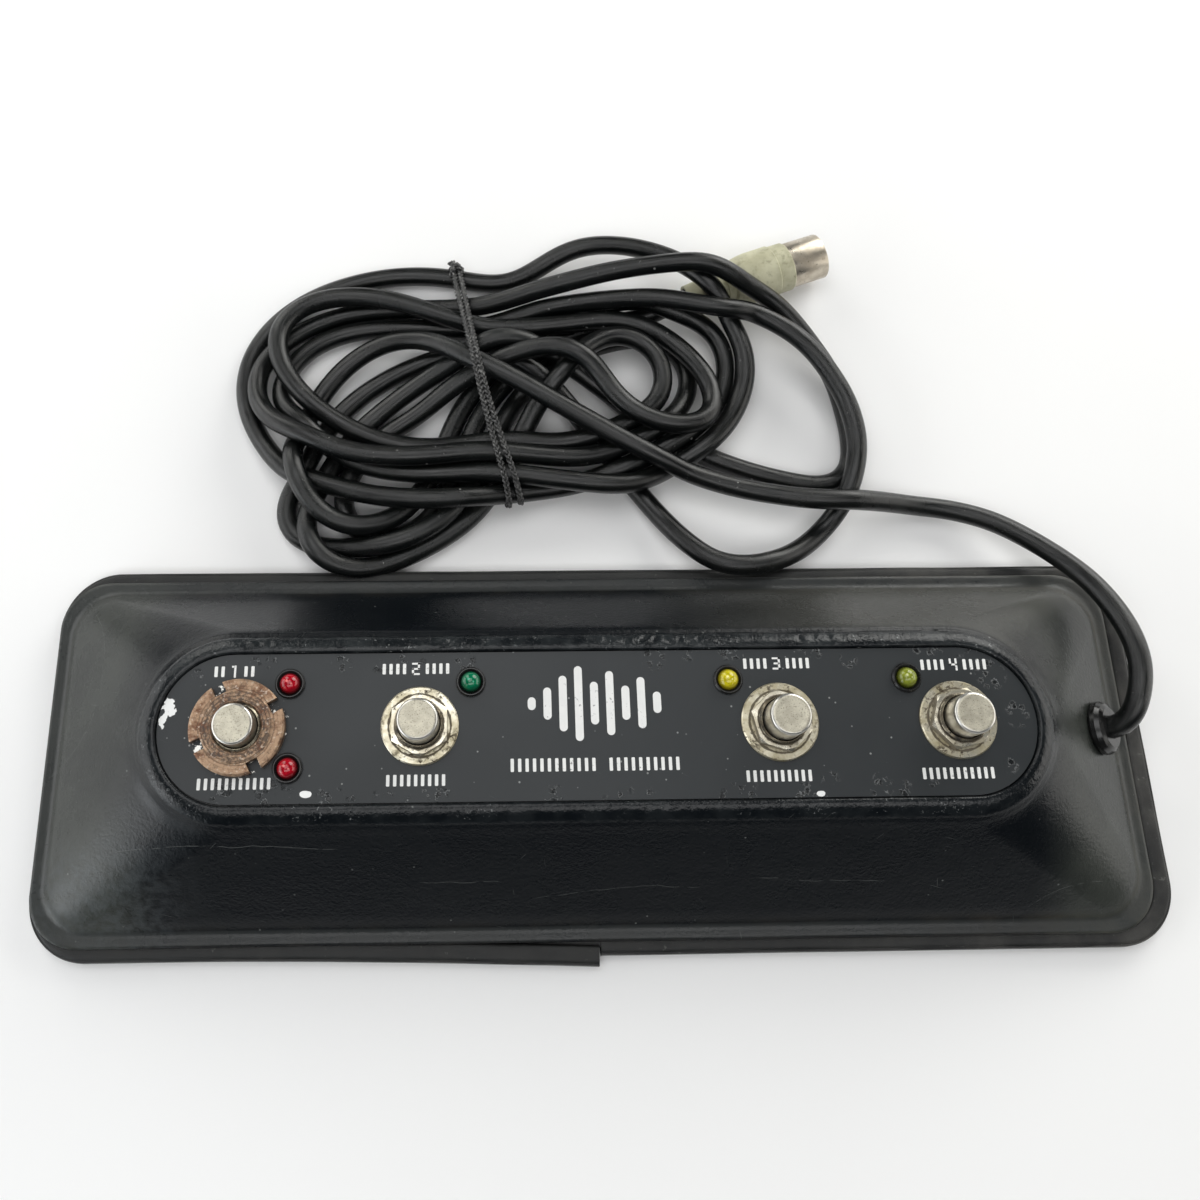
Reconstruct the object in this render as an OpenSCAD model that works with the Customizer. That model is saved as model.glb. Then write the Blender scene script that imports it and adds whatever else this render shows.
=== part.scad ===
// Four-button amplifier footswitch with a tied hank of cable and a round multi-pin plug.
// Millimetres. +X right, +Y away from the player, +Z up. The origin is on the floor,
// under the middle of the housing.

/* [Housing] */
// Overall length over the rubber edge trim
base_len = 281.4; // [270:0.2:290]
// Depth over the rubber edge trim, without its sprung end
base_depth = 96.5; // [92:0.5:104]
// Length of the moulded shell at its rim
shell_len = 275; // [265:0.5:276]
// Depth of the moulded shell at its rim
shell_depth = 90; // [86:0.5:92]
// Corner radius of the shell's rim
shell_corner = 12.5; // [10:0.5:16]
// Wall thickness of the shell
wall = 2.6; // [2:0.1:3]
// Height of the label plate's face above the floor
face_z = 32.5; // [32:0.5:34]

/* [Edge trim] */
// Height of the rubber channel
trim_h = 5.0; // [5:0.1:5.4]
// Width of the channel's legs from its outer face
trim_w = 5.0; // [4.6:0.1:5.4]
// How far the loose end has sprung away from the front edge
trim_spring = 2.5; // [0:0.1:3]

/* [Label plate] */
// Length of the label plate
plate_len = 206.4; // [204:0.2:208]
// Width of the label plate
plate_w = 34.4; // [33:0.2:36]
// Thickness of the label plate
plate_t = 1.1; // [0.8:0.1:1.4]

/* [Switches] */
// Distance between neighbouring places in the row of switches
pitch = 42.2; // [41:0.1:43]
// Outer diameter of the threaded barrel
barrel_d = 11.2; // [11:0.1:11.4]
// Diameter of a push button
button_d = 9.5; // [9.3:0.1:9.6]
// Side of the square switch case
case_w = 17.4; // [16:0.2:18]

/* [Lamps] */
// Lens diameter
lamp_d = 5.0; // [4.8:0.1:5.0]
// Outer diameter of a lamp holder
holder_d = 7.0; // [6.8:0.1:8]

/* [Cable] */
// Cable diameter
cable_d = 5.6; // [5:0.1:6]
// Outer diameter of the plug's metal sleeve
sleeve_d = 13.2; // [13:0.1:13.4]

/* [Hidden] */

eps = 0.02;
slip = 0.05;      // radial clearance of a sliding or screwed fit

// Where the pieces of the housing sit in plan
trim_y = trim_spring / 2;         // keeps the origin under the middle of the box
shell_x = -2.4;                   // the shell was screwed down a little to the left
shell_y = 1.3;
face_y = 4.3;                     // the label plate lies behind the shell's middle
plate_r = plate_w / 2;
plate_half = plate_len / 2 - plate_r;

// Heights, from the floor up
sole = 2.2;                       // rubber under the base plate
steel = 1.2;                      // base plate
rim_z = trim_h + 0.1;             // underside of the shell's rim
base_top = sole + steel;
floor_of_recess = face_z - plate_t;
ceiling = floor_of_recess - 3.0;  // inside face of the shell's top wall

// Outline of the shell at successive heights: [z, half length, half depth, corner, centre y]
lip_r = plate_r + 0.15;
half_l = shell_len / 2;
half_d = shell_depth / 2;
function lip_level(z, r) = [z, plate_half + r, r, r, face_y];
SHELL_OUTSIDE = [
    [rim_z, half_l, half_d, shell_corner, shell_y],
    [rim_z + 1.2, half_l, half_d, shell_corner, shell_y],
    [rim_z + 1.8, half_l - 0.6, half_d - 0.6, shell_corner, shell_y],
    [rim_z + 2.0, half_l - 1.8, half_d - 1.8, shell_corner - 0.5, shell_y],
    [rim_z + 2.6, half_l - 3.3, half_d - 3.3, shell_corner - 1, shell_y],
    [rim_z + 4.2, half_l - 5.1, half_d - 5.1, shell_corner - 1.5, shell_y],
    lip_level(face_z - 1.9, plate_r + 5.6),
    lip_level(face_z - 0.5, plate_r + 4.2),
    lip_level(face_z + 0.5, plate_r + 2.8),
    lip_level(face_z + 0.8, plate_r + 1.4),
    lip_level(face_z + 0.8, plate_r + 0.6)];
SHELL_INSIDE = [
    [rim_z - 1, half_l - 3.6, half_d - 3.6, shell_corner - 2, shell_y],
    [rim_z + 1.2, half_l - 3.6, half_d - 3.6, shell_corner - 2, shell_y],
    [rim_z + 4.2, half_l - 5.1 - 1.5 * wall, half_d - 5.1 - 1.5 * wall, shell_corner - 3, shell_y],
    lip_level(ceiling, plate_r + 4.2)];
outline_steps = 8;                // points in each quarter of an outline

// Screws through the base plate: two at each end and one at the middle of each long side
SCREW_SPOTS = [[-116, -25], [-116, 28], [116, -25], [116, 28], [-2.4, -29], [-2.4, 31]];
boss_d = 7.5;
screw_d = 3.4;

// The row of switches: places counted in pitches from the middle of the plate
PLACES = [-2, -1, 1, 2];
// Height of each button's face, of each barrel's end, and how deep each switch is mounted
BUTTON_TOP = [40.2, 44.6, 45.0, 44.0];
BARREL_TOP = [34.9, 37.1, 37.1, 37.1];
SWITCH_DROP = [2, 0, 0, 0];
NUT_TURN = [0, 30, 43, 13];       // degrees
head_len = 15.1;                  // guided length of a button
stem_end = 27.6;                  // from a button's face to the end of its stem
stem_d = 4.0;
case_top = 24.0;
case_bottom = 9.6;
seat_z = 16.5;                    // where the spring stands inside the case
flange_t = 1.0;
barrel_bore = button_d + 0.16;
washer_d = 18.2;
washer_t = 0.9;
nut_af = 12.8;
nut_t = 2.4;
ring_nut_d = 22.2;
ring_nut_t = 2.6;

// Lamps: [switch number, offset in x, offset in y]
LAMPS = [[1, 11.6, 10.1], [1, 11.9, -9.3], [2, 11.9, 10.1], [3, -11.5, 10], [4, -11.0, 10]];
lamp_top = 35.3;
lead_gap = 1.27;
lead_d = 0.5;

board_t = 1.6;
board_z = 5.8;
board_len = 196;
board_w = 31;

function switch_x(n) = shell_x + PLACES[n - 1] * pitch;
function lamp_xy(i) = [switch_x(LAMPS[i][0]) + LAMPS[i][1], face_y + LAMPS[i][2]];

// Cable exit: square to the right-hand slope, which runs from slope_foot up to slope_head
slope_foot = [shell_x + SHELL_OUTSIDE[5][1], SHELL_OUTSIDE[5][0]];
slope_head = [shell_x + SHELL_OUTSIDE[6][1], SHELL_OUTSIDE[6][0]];
slope_turn = atan2(slope_head.y - slope_foot.y, slope_foot.x - slope_head.x);
exit_dir = [sin(slope_turn), 0, cos(slope_turn)];
grommet_x = 124.4;
grommet_at = [grommet_x, face_y, slope_foot.y + (slope_foot.x - grommet_x) * tan(slope_turn)];
grommet_out = 3.2;                // how far the grommet stands proud
cable_exit = grommet_at + grommet_out * exit_dir;
cable_inside = 12;                // stretch of cable behind the grommet's face
cable_r = cable_d / 2;

// Route of the free cable from the grommet to the hank
RUN = [
    cable_exit - cable_inside * exit_dir, cable_exit - 5 * exit_dir, cable_exit + 2 * exit_dir,
    [129.9, 6.6, 21.2], [131.5, 11.2, 23.2], [133.2, 18, 23.3], [133.4, 25.5, 21.8], [131.8, 33.5, 19.2],
    [128.8, 41, 16.4], [124.6, 47.6, 13.2], [117.8, 55, 9.4], [109, 61.6, 6.2], [99, 65.4, 4.2],
    [89, 66.7, 4.6], [79, 66.6, 8.6], [69, 66, 12.4], [59, 66.4, 12], [49, 68.4, 10.4],
    [41, 70.2, 9.8], [32.5, 72.6, 9.8], [24, 75.6, 10.6]];
// Two turns of the hank have come loose and lie as larger loops on its right
LOOP_OUTER = [
    [45, 123, 13.6], [51, 120.2, 13.2], [57, 116.6, 12.8], [62, 112.4, 12], [66, 107.5, 11.2],
    [72, 96, 10], [74, 85, 9.2], [72.4, 75.4, 8.8], [68.8, 67, 6.2], [63, 60, 4], [56, 54.2, 5.4],
    [48, 50.2, 8.6], [40, 48.6, 9.8], [32.4, 50, 9.2], [25.6, 55.6, 7], [19.6, 63, 4.4], [14, 70.6, 3.2]];
LOOP_INNER = [
    [46, 129.4, 15.6], [51, 127.2, 13.6], [55.6, 124.6, 11.4], [60.6, 120.2, 8.6], [64.8, 115.2, 6.4],
    [70.4, 106.4, 4.2], [73, 96.5, 3.2], [74, 86.5, 3], [73, 79, 3], [69, 74.4, 3], [62.6, 73.2, 3],
    [55.6, 74.4, 3], [48, 76.4, 3], [40, 79.2, 3], [32, 82.6, 3]];

// Hank: [x, y, radius] of the rounds that its outline wraps
HANK = [[-68, 81, 30.2], [-62, 106, 36], [6, 124.5, 27], [15, 108, 36.5]];
hank_h = 29;
// A braided tie goes over the hank and down both of its sides
tie_d = 3.2;
TIE = [
    [-19.4, 60, 1.7], [-19.4, 60, 15], [-19.6, 60, 25], [-20.6, 63.4, 30.4], [-24, 78, 30.7],
    [-28, 92, 30.7], [-31.4, 106, 30.7], [-33.6, 120, 30.7], [-35.4, 134, 30.7],
    [-36.8, 144, 30.4], [-37.4, 147.6, 25], [-37.6, 147.8, 15], [-37.6, 147.8, 1.7]];

// Plug: lies on the floor beside the hank
plug_at = [29.4, 129.6, 7.6];      // where the cable enters the boot
plug_turn = 19;                   // degrees from +X
boot_len = 27;
collar_len = 5;
sleeve_len = 10.5;
pin_circle = 3.5;

// Points of a rounded rectangle, four quarters without doubled corners
function outline(level, n = outline_steps) = [
    for (q = [0:3], i = [0:n - 1])
        let (a = 90 * (q + (i + 0.5) / n),
             cx = (q == 0 || q == 3 ? 1 : -1) * (level[1] - level[3]),
             cy = (q < 2 ? 1 : -1) * (level[2] - level[3]))
        [shell_x + cx + level[3] * cos(a), level[4] + cy + level[3] * sin(a), level[0]]];

// Solid through a list of rings of points, each ring with the same number of points
module skin(rings) {
    m = len(rings[0]);
    last = (len(rings) - 1) * m;
    points = [for (ring = rings) each ring];
    sides = [
        for (k = [0:len(rings) - 2], i = [0:m - 1])
            let (a = k * m + i, b = k * m + (i + 1) % m)
            each [[a, a + m, b], [b, a + m, b + m]]];
    start_cap = [[for (i = [0:m - 1]) i]];
    end_cap = [[for (i = [m - 1:-1:0]) last + i]];
    polyhedron(points, concat(start_cap, sides, end_cap), convexity = 10);
}

// Round tube along a path, turned upright at each ring so that it doesn't twist
function unit(v) = v / norm(v);
function tangent(p, k) = unit(p[min(k + 1, len(p) - 1)] - p[max(k - 1, 0)]);
module tube(path, r, sides = 8) {
    rings = [
        for (k = [0:len(path) - 1])
            let (t = tangent(path, k), s = unit(cross(t, [0.01, 0.02, 1])), u = cross(s, t))
            [for (i = [0:sides - 1])
                let (a = 360 * (i + 0.5) / sides)
                path[k] + r * (cos(a) * s + sin(a) * u)]];
    skin(rings);
}

// Slab with round ends along X
module obround(half, r, t) {
    translate([-half, -r, 0]) cube([2 * half, 2 * r, t]);
    for (side = [-1, 1]) translate([side * half, 0, 0]) cylinder(r = r, h = t, $fn = 96);
}

// Slab with round corners
module rounded_slab(hx, hy, r, t) {
    translate([-hx, -hy + r, 0]) cube([2 * hx, 2 * (hy - r), t]);
    translate([-hx + r, -hy, 0]) cube([2 * (hx - r), 2 * hy, t]);
    for (sx = [-1, 1], sy = [-1, 1])
        translate([sx * (hx - r), sy * (hy - r), 0]) cylinder(r = r, h = t, $fn = 64);
}

// Straight rod between two points
module rod(a, b, d) {
    v = b - a;
    turn = [0, acos(v.z / norm(v)), atan2(v.y, v.x)];
    translate(a) rotate(turn) cylinder(d = d, h = norm(v), $fn = 24);
}

module at_switch(n) {
    translate([switch_x(n), face_y, 0]) children();
}

module at_exit() {
    translate(grommet_at) rotate([0, slope_turn, 0]) children();
}

// ---- Housing ----

module shell_cavity() {
    difference() {
        skin([for (level = SHELL_INSIDE) outline(level)]);
        for (s = SCREW_SPOTS)
            translate([s.x, s.y, 0]) cylinder(d = boss_d, h = face_z, $fn = 48);
    }
}

module shell() {
    color("#1d1e1f") difference() {
        skin([for (level = SHELL_OUTSIDE) outline(level)]);
        shell_cavity();
        translate([shell_x, face_y, floor_of_recess]) obround(plate_half, lip_r, 5);
        for (n = [1:4])
            at_switch(n) translate([0, 0, ceiling - 2]) cylinder(d = barrel_d + 0.6, h = 8, $fn = 64);
        for (i = [0:4])
            translate([lamp_xy(i).x, lamp_xy(i).y, ceiling - 2]) cylinder(d = holder_d - 0.5, h = 8, $fn = 48);
        for (s = SCREW_SPOTS)
            translate([s.x, s.y, 0]) cylinder(d = screw_d + 2 * slip, h = 13.6, $fn = 32);
        at_exit() translate([0, 0, -wall - 4]) cylinder(d = 9.2, h = 12, $fn = 64);
    }
}

module label_plate() {
    color("#3a3e42") difference() {
        translate([shell_x, face_y, floor_of_recess]) obround(plate_half, plate_r, plate_t);
        for (n = [1:4])
            at_switch(n) translate([0, 0, face_z - 3]) cylinder(d = barrel_d + 0.4, h = 6, $fn = 64);
        for (i = [0:4])
            translate([lamp_xy(i).x, lamp_xy(i).y, face_z - 3]) cylinder(d = holder_d - 0.5, h = 6, $fn = 48);
    }
}

module base_plate() {
    grip = 1.7;                   // rubber outside the plate's edge
    color("#4a4c4e") difference() {
        translate([0, trim_y, sole])
            rounded_slab(base_len / 2 - grip - 0.3, base_depth / 2 - grip - 0.3, 13, steel);
        for (s = SCREW_SPOTS)
            translate([s.x, s.y, 0]) cylinder(d = 4, h = 6, $fn = 32);
    }
}

// Cross-section of the channel: [inwards from the outer face, height]
TRIM_SECTION = [
    [0, 1.0], [0.8, 0], [trim_w, 0], [trim_w, sole], [1.7, sole], [1.7, base_top],
    [trim_w, base_top], [trim_w, trim_h - 0.3], [trim_w - 0.4, trim_h], [0.8, trim_h], [0, trim_h - 0.8]];
trim_corner = 15;
trim_joint = -2.2;                // where the channel's two ends meet
trim_sprung_from = -101;          // the left end is loose from here to the joint
function sprung(x) = x > trim_sprung_from && x <= trim_joint
    ? trim_spring * pow((x - trim_sprung_from) / (trim_joint - trim_sprung_from), 1.6) : 0;
// Stations along the channel, from the loose end clockwise: [x, y, outward x, outward y]
function trim_corner_stations(sx, sy, from) = [
    for (i = [0:6])
        let (a = from - 15 * i)
        [sx * (base_len / 2 - trim_corner) + trim_corner * cos(a),
         trim_y + sy * (base_depth / 2 - trim_corner) + trim_corner * sin(a), cos(a), sin(a)]];
front_y = trim_y - base_depth / 2;
TRIM_STATIONS = concat(
    [for (i = [0:9])
        let (x = trim_joint + (trim_sprung_from - trim_joint) * i / 9)
        [x, front_y - sprung(x), 0, -1]],
    trim_corner_stations(-1, -1, 270),
    trim_corner_stations(-1, 1, 180),
    trim_corner_stations(1, 1, 90),
    trim_corner_stations(1, -1, 0),
    [[trim_joint + 0.5, front_y, 0, -1]]);

module edge_trim() {
    color("#151515") skin([
        for (s = TRIM_STATIONS)
            [for (p = TRIM_SECTION) [s[0] - s[2] * p[0], s[1] - s[3] * p[0], p[1]]]]);
}

module base_screws() {
    head_h = 1.5;
    color("#8a8a86") for (s = SCREW_SPOTS)
        translate([s.x, s.y, 0]) difference() {
            union() {
                translate([0, 0, sole - head_h]) cylinder(d1 = 5.4, d2 = 6.8, h = head_h, $fn = 48);
                translate([0, 0, sole - eps]) cylinder(d = screw_d, h = 11, $fn = 32);
            }
            for (a = [0, 90])
                rotate([0, 0, a]) translate([-1.9, -0.4, 0]) cube([3.8, 0.8, sole - 0.6]);
        }
}

// ---- Switches ----

module barrel(n) {
    bottom = case_top - SWITCH_DROP[n - 1];
    top = BARREL_TOP[n - 1];
    r = barrel_d / 2;
    bore = barrel_bore / 2;
    thread = [for (k = [3:-1:0]) let (z = top - 0.5 - 0.75 * k) each [[r, z - 0.3], [r - 0.3, z], [r, z + 0.3]]];
    profile = concat([[bore, bottom], [r, bottom]], thread, [[r - 0.35, top], [bore + 0.25, top], [bore, top - 0.3]]);
    color("#b9b6ad") at_switch(n) {
        rotate_extrude($fn = 72) polygon(profile);
        difference() {
            translate([-case_w / 2 + 0.3, -case_w / 2 + 0.3, bottom]) cube([case_w - 0.6, case_w - 0.6, flange_t]);
            translate([0, 0, bottom - 1]) cylinder(r = r - 0.4, h = 4, $fn = 72);
        }
    }
}

module button(n) {
    top = BUTTON_TOP[n - 1];
    r = button_d / 2;
    color("#c4c1b6") at_switch(n) translate([0, 0, top])
        rotate_extrude($fn = 72) polygon([
            [0, -stem_end], [stem_d / 2 - 0.4, -stem_end], [stem_d / 2, -stem_end + 0.4],
            [stem_d / 2, -head_len], [r, -head_len], [r, -0.8], [r - 0.15, -0.4],
            [r - 0.5, -0.1], [r - 0.9, 0], [0, 0]]);
}

module spring(n) {
    bottom = seat_z - SWITCH_DROP[n - 1];
    top = BUTTON_TOP[n - 1] - head_len;
    wire = 0.8;
    coil_r = 3.4;
    turns = 6;
    steps = 12;
    low = bottom + wire / 2 + 0.02;
    high = top - wire / 2 - 0.02;
    helix = [
        for (k = [0:turns * steps])
            let (a = 360 * k / steps)
            [coil_r * cos(a), coil_r * sin(a), low + (high - low) * k / (turns * steps)]];
    color("#9c9a94") at_switch(n) tube(helix, wire / 2, 6);
}

module switch_case(n) {
    drop = SWITCH_DROP[n - 1];
    color("#2b2320") at_switch(n) translate([0, 0, -drop]) difference() {
        translate([-case_w / 2, -case_w / 2, case_bottom]) cube([case_w, case_w, case_top - case_bottom]);
        translate([0, 0, seat_z]) cylinder(d = barrel_bore + 0.2, h = 10, $fn = 64);
        translate([0, 0, case_bottom + 1]) cylinder(d = stem_d + 0.8, h = 10, $fn = 48);
        // moulded grooves down the sides
        for (side = [-1, 1])
            translate([side * case_w / 2 - 0.5, -1.5, case_bottom + 2]) cube([1, 3, 9]);
    }
}

module terminals(n) {
    lug = [2.2, 0.8];
    top = case_bottom - SWITCH_DROP[n - 1];
    color("#cfcabc") at_switch(n) for (x = [-4.7, 0, 4.7], y = [-4, 4])
        translate([x - lug.x / 2, y - lug.y / 2, 5.2]) cube([lug.x, lug.y, top - 5.2]);
}

module hex_nuts() {
    color("#b5b0a0") for (n = [2:4])
        at_switch(n) translate([0, 0, face_z + washer_t]) rotate([0, 0, NUT_TURN[n - 1]]) difference() {
            intersection() {
                cylinder(d = nut_af / cos(30), h = nut_t, $fn = 6);
                // chamfered corners at the top
                cylinder(r1 = nut_af / 2 + 3.4, r2 = nut_af / 2 + 0.3, h = nut_t, $fn = 72);
            }
            translate([0, 0, -1]) cylinder(d = barrel_d + 2 * slip, h = nut_t + 2, $fn = 72);
        }
}

module flat_washers() {
    color("#b8b29c") for (n = [2:4])
        at_switch(n) translate([0, 0, face_z]) rotate_extrude($fn = 96) polygon([
            [barrel_d / 2 + 0.3, 0], [washer_d / 2, 0], [washer_d / 2, washer_t - 0.3],
            [washer_d / 2 - 0.3, washer_t], [barrel_d / 2 + 0.3, washer_t]]);
}

module ring_nut() {
    r = ring_nut_d / 2;
    color("#8a6650") at_switch(1) translate([0, 0, face_z]) rotate([0, 0, 29]) difference() {
        rotate_extrude($fn = 96) polygon([
            [barrel_d / 2 + slip, 0], [r, 0], [r, ring_nut_t - 0.5], [r - 0.5, ring_nut_t - 0.2],
            [8.4, ring_nut_t - 0.2], [8.1, ring_nut_t], [barrel_d / 2 + 0.4, ring_nut_t],
            [barrel_d / 2 + slip, ring_nut_t - 0.35]]);
        for (a = [0, 89, 176, 268])
            rotate([0, 0, a]) translate([r - 2.6, -1.4, -1]) cube([4, 2.8, 5]);
    }
}

module lock_nuts() {
    color("#a8a498") for (n = [1:4])
        at_switch(n) translate([0, 0, ceiling - 0.6 - 2]) difference() {
            rotate([0, 0, 15]) cylinder(d = 15.6, h = 2, $fn = 6);
            translate([0, 0, -1]) cylinder(d = barrel_d + 2 * slip, h = 4, $fn = 72);
        }
}

module lock_washers() {
    teeth = 12;
    color("#a8a498") for (n = [1:4])
        at_switch(n) translate([0, 0, ceiling - 0.6]) difference() {
            cylinder(d = 16.4, h = 0.6, $fn = 96);
            translate([0, 0, -1]) cylinder(d = barrel_d + 0.6, h = 3, $fn = 72);
            for (k = [0:teeth - 1])
                rotate([0, 0, 360 / teeth * (k + 0.5)]) translate([7.2, -0.6, -1]) cube([2, 1.2, 3]);
        }
}

// ---- Lamps and electronics ----

module lamp(i, tint) {
    r = lamp_d / 2;
    neck = 28.9;
    color(tint) translate([lamp_xy(i).x, lamp_xy(i).y, 0]) {
        translate([0, 0, neck - 1]) cylinder(d = 5.8, h = 1, $fn = 48);
        translate([0, 0, neck - eps]) cylinder(r = r, h = lamp_top - r - neck + eps, $fn = 48);
        translate([0, 0, lamp_top - r]) intersection() {
            sphere(r = r, $fn = 48);
            translate([-r, -r, -eps]) cube([2 * r, 2 * r, r + eps]);
        }
        for (side = [-1, 1])
            translate([side * lead_gap, 0, 5.2]) cylinder(d = lead_d, h = neck - 1 - 5.2 + eps, $fn = 16);
    }
}

module lamp_holders() {
    color("#101010") for (i = [0:4])
        translate([lamp_xy(i).x, lamp_xy(i).y, 0]) rotate_extrude($fn = 64) polygon([
            [lamp_d / 2 + slip, 29], [holder_d / 2 - 0.35, 29], [holder_d / 2 - 0.35, face_z],
            [holder_d / 2, face_z], [holder_d / 2, face_z + 0.7], [holder_d / 2 - 0.3, face_z + 1.1],
            [lamp_d / 2 + 0.5, face_z + 1.1], [lamp_d / 2 + slip, face_z + 0.6]]);
}

module circuit_board() {
    color("#2f6b3c") difference() {
        translate([shell_x - board_len / 2, face_y - board_w / 2, board_z]) cube([board_len, board_w, board_t]);
        for (n = [1:4], x = [-4.7, 0, 4.7], y = [-4, 4])
            at_switch(n) translate([x - 1.3, y - 0.6, board_z - 1]) cube([2.6, 1.2, 4]);
        for (i = [0:4], side = [-1, 1])
            translate([lamp_xy(i).x + side * lead_gap, lamp_xy(i).y, board_z - 1]) cylinder(d = 0.9, h = 4, $fn = 24);
    }
}

board_top = board_z + board_t;
// Body lying on the board with two square bent leads
module axial_part(body_d, body_len, reach, lead) {
    r = body_d / 2;
    translate([0, -body_len / 2, r]) rotate([-90, 0, 0]) cylinder(r = r, h = body_len, $fn = 32);
    for (side = [-1, 1]) {
        translate([-lead / 2, side * (body_len + reach) / 2 - reach / 2 - 0.05, r - lead / 2])
            cube([lead, reach + 0.1, lead]);
        translate([-lead / 2, side * (body_len / 2 + reach) - lead / 2, 0])
            cube([lead, lead, r + lead / 2]);
    }
}

module board_resistors() {
    color("#b89a6a") for (x = [-64, -20, -12, -4, 4, 12, 62])
        translate([shell_x + x, face_y, board_top]) axial_part(2.4, 6, 1.6, 0.5);
}

module board_diodes() {
    color("#7a2f22") for (x = [-57, 20, 55])
        translate([shell_x + x, face_y, board_top]) axial_part(1.9, 3.8, 1.5, 0.4);
}

// Seven insulated cores fan out from the end of the cable's jacket to the board
CORE_FROM = [[-1.3, 0], [-0.65, 1.1], [-0.65, -1.1], [0, 0], [0.65, 1.1], [0.65, -1.1], [1.3, 0]];
module cable_cores() {
    jacket_end = RUN[0];
    color("#c8a13a") for (k = [0:6])
        rod(jacket_end + [-0.6, CORE_FROM[k].x, CORE_FROM[k].y + 0.4],
            [shell_x + board_len / 2 - 3, face_y + 3.8 * (k - 3), board_top + 0.6], 0.9);
}

module crimp_collar() {
    color("#a5a29a") at_exit() translate([0, 0, -wall - 5.6]) difference() {
        cylinder(d = 9, h = 3, $fn = 6);
        translate([0, 0, -1]) cylinder(d = cable_d + 2 * slip, h = 5, $fn = 48);
    }
}

module cable_grommet() {
    bore = cable_d / 2 + slip;
    color("#0e0e0e") at_exit() rotate_extrude($fn = 72) polygon([
        [bore, -wall - 2], [5.6, -wall - 2], [6, -wall - 1.6], [6, -wall - 0.5], [4.5, -wall - 0.5],
        [4.5, 0.15], [6.4, 0.15], [6.6, 0.6], [6.5, 1.6], [5.9, 2.6], [4.9, grommet_out], [bore, grommet_out]]);
}

// ---- Cable, hank and plug ----

module cable_run() {
    color("#17181a") tube(RUN, cable_r, 10);
}

module cable_loop_outer() {
    color("#17181a") tube(LOOP_OUTER, cable_r, 10);
}

module cable_loop_inner() {
    color("#17181a") tube(LOOP_INNER, cable_r, 10);
}

module cable_hank() {
    color("#1b1c1e") linear_extrude(height = hank_h) hull()
        for (c = HANK) translate([c.x, c.y]) circle(r = c[2], $fn = 32);
}

module cable_tie() {
    color("#0c0c0c") tube(TIE, tie_d / 2, 8);
}

module at_plug() {
    translate(plug_at) rotate([0, 0, plug_turn]) rotate([0, 90, 0]) children();
}

module plug_boot() {
    ribs = 5;
    rib = [for (k = [0:ribs - 1]) let (z = 3 + 2.2 * k, r = 3.9 + 0.36 * k) each [[r, z], [r, z + 1.2], [r - 0.45, z + 1.3], [r - 0.35, z + 2.1]]];
    profile = concat([[cable_r + slip, 0], [3.6, 0]], rib, [
        [6.3, 14.2], [7.1, 17.5], [7.4, 20], [7.5, boot_len], [7.1, boot_len + 0.4],
        [7.1, boot_len + collar_len - 0.4], [6.8, boot_len + collar_len], [cable_r + slip, boot_len + collar_len]]);
    color("#a9a58f") at_plug() rotate_extrude($fn = 72) polygon(profile);
}

sleeve_from = boot_len + collar_len;
module plug_sleeve() {
    r = sleeve_d / 2;
    color("#b3aea6") at_plug() difference() {
        translate([0, 0, sleeve_from]) cylinder(r = r, h = sleeve_len, $fn = 96);
        translate([0, 0, sleeve_from - 1]) cylinder(r = r - 0.5, h = sleeve_len + 2, $fn = 96);
        // polarising notch
        rotate([0, 0, 180]) translate([r - 2, -1.2, sleeve_from + sleeve_len - 2.6]) cube([4, 2.4, 8]);
    }
}

module plug_insert() {
    color("#2a2a2a") at_plug() translate([0, 0, sleeve_from]) difference() {
        cylinder(r = sleeve_d / 2 - 0.55, h = 2.4, $fn = 72);
        for (k = [0:6])
            rotate([0, 0, -135 + 45 * k]) translate([pin_circle, 0, -1]) cylinder(d = 1.5, h = 5, $fn = 24);
    }
}

module plug_pins() {
    color("#c9c2a8") at_plug() translate([0, 0, sleeve_from]) for (k = [0:6])
        rotate([0, 0, -135 + 45 * k]) translate([pin_circle, 0, 0.1]) {
            cylinder(d = 1.4, h = 8.2, $fn = 24);
            translate([0, 0, 8.2 - eps]) cylinder(d1 = 1.4, d2 = 0.8, h = 0.5, $fn = 24);
        }
}

shell();
label_plate();
base_plate();
edge_trim();
base_screws();
barrel(1);  // barrel_1
barrel(2);  // barrel_2
barrel(3);  // barrel_3
barrel(4);  // barrel_4
button(1);  // button_1
button(2);  // button_2
button(3);  // button_3
button(4);  // button_4
spring(1);  // spring_1
spring(2);  // spring_2
spring(3);  // spring_3
spring(4);  // spring_4
switch_case(1);  // switch_case_1
switch_case(2);  // switch_case_2
switch_case(3);  // switch_case_3
switch_case(4);  // switch_case_4
terminals(1);  // terminals_1
terminals(2);  // terminals_2
terminals(3);  // terminals_3
terminals(4);  // terminals_4
hex_nuts();
flat_washers();
ring_nut();
lock_nuts();
lock_washers();
lamp(0, "#c81e2c");  // lamp_1_rear
lamp(1, "#c81e2c");  // lamp_1_front
lamp(2, "#1f9a55");  // lamp_2
lamp(3, "#d9c02a");  // lamp_3
lamp(4, "#a9b34a");  // lamp_4
lamp_holders();
circuit_board();
board_resistors();
board_diodes();
cable_cores();
crimp_collar();
cable_grommet();
cable_run();
cable_loop_outer();
cable_loop_inner();
cable_hank();
cable_tie();
plug_boot();
plug_sleeve();
plug_insert();
plug_pins();
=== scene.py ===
# Four-button amplifier footswitch with a tied hank of cable and a round multi-pin plug.
# Lengths in the tables are millimetres in the row frame; mm() turns them into metres.
import math

import bpy
import numpy as np
from mathutils import Matrix, Vector, noise


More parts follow.
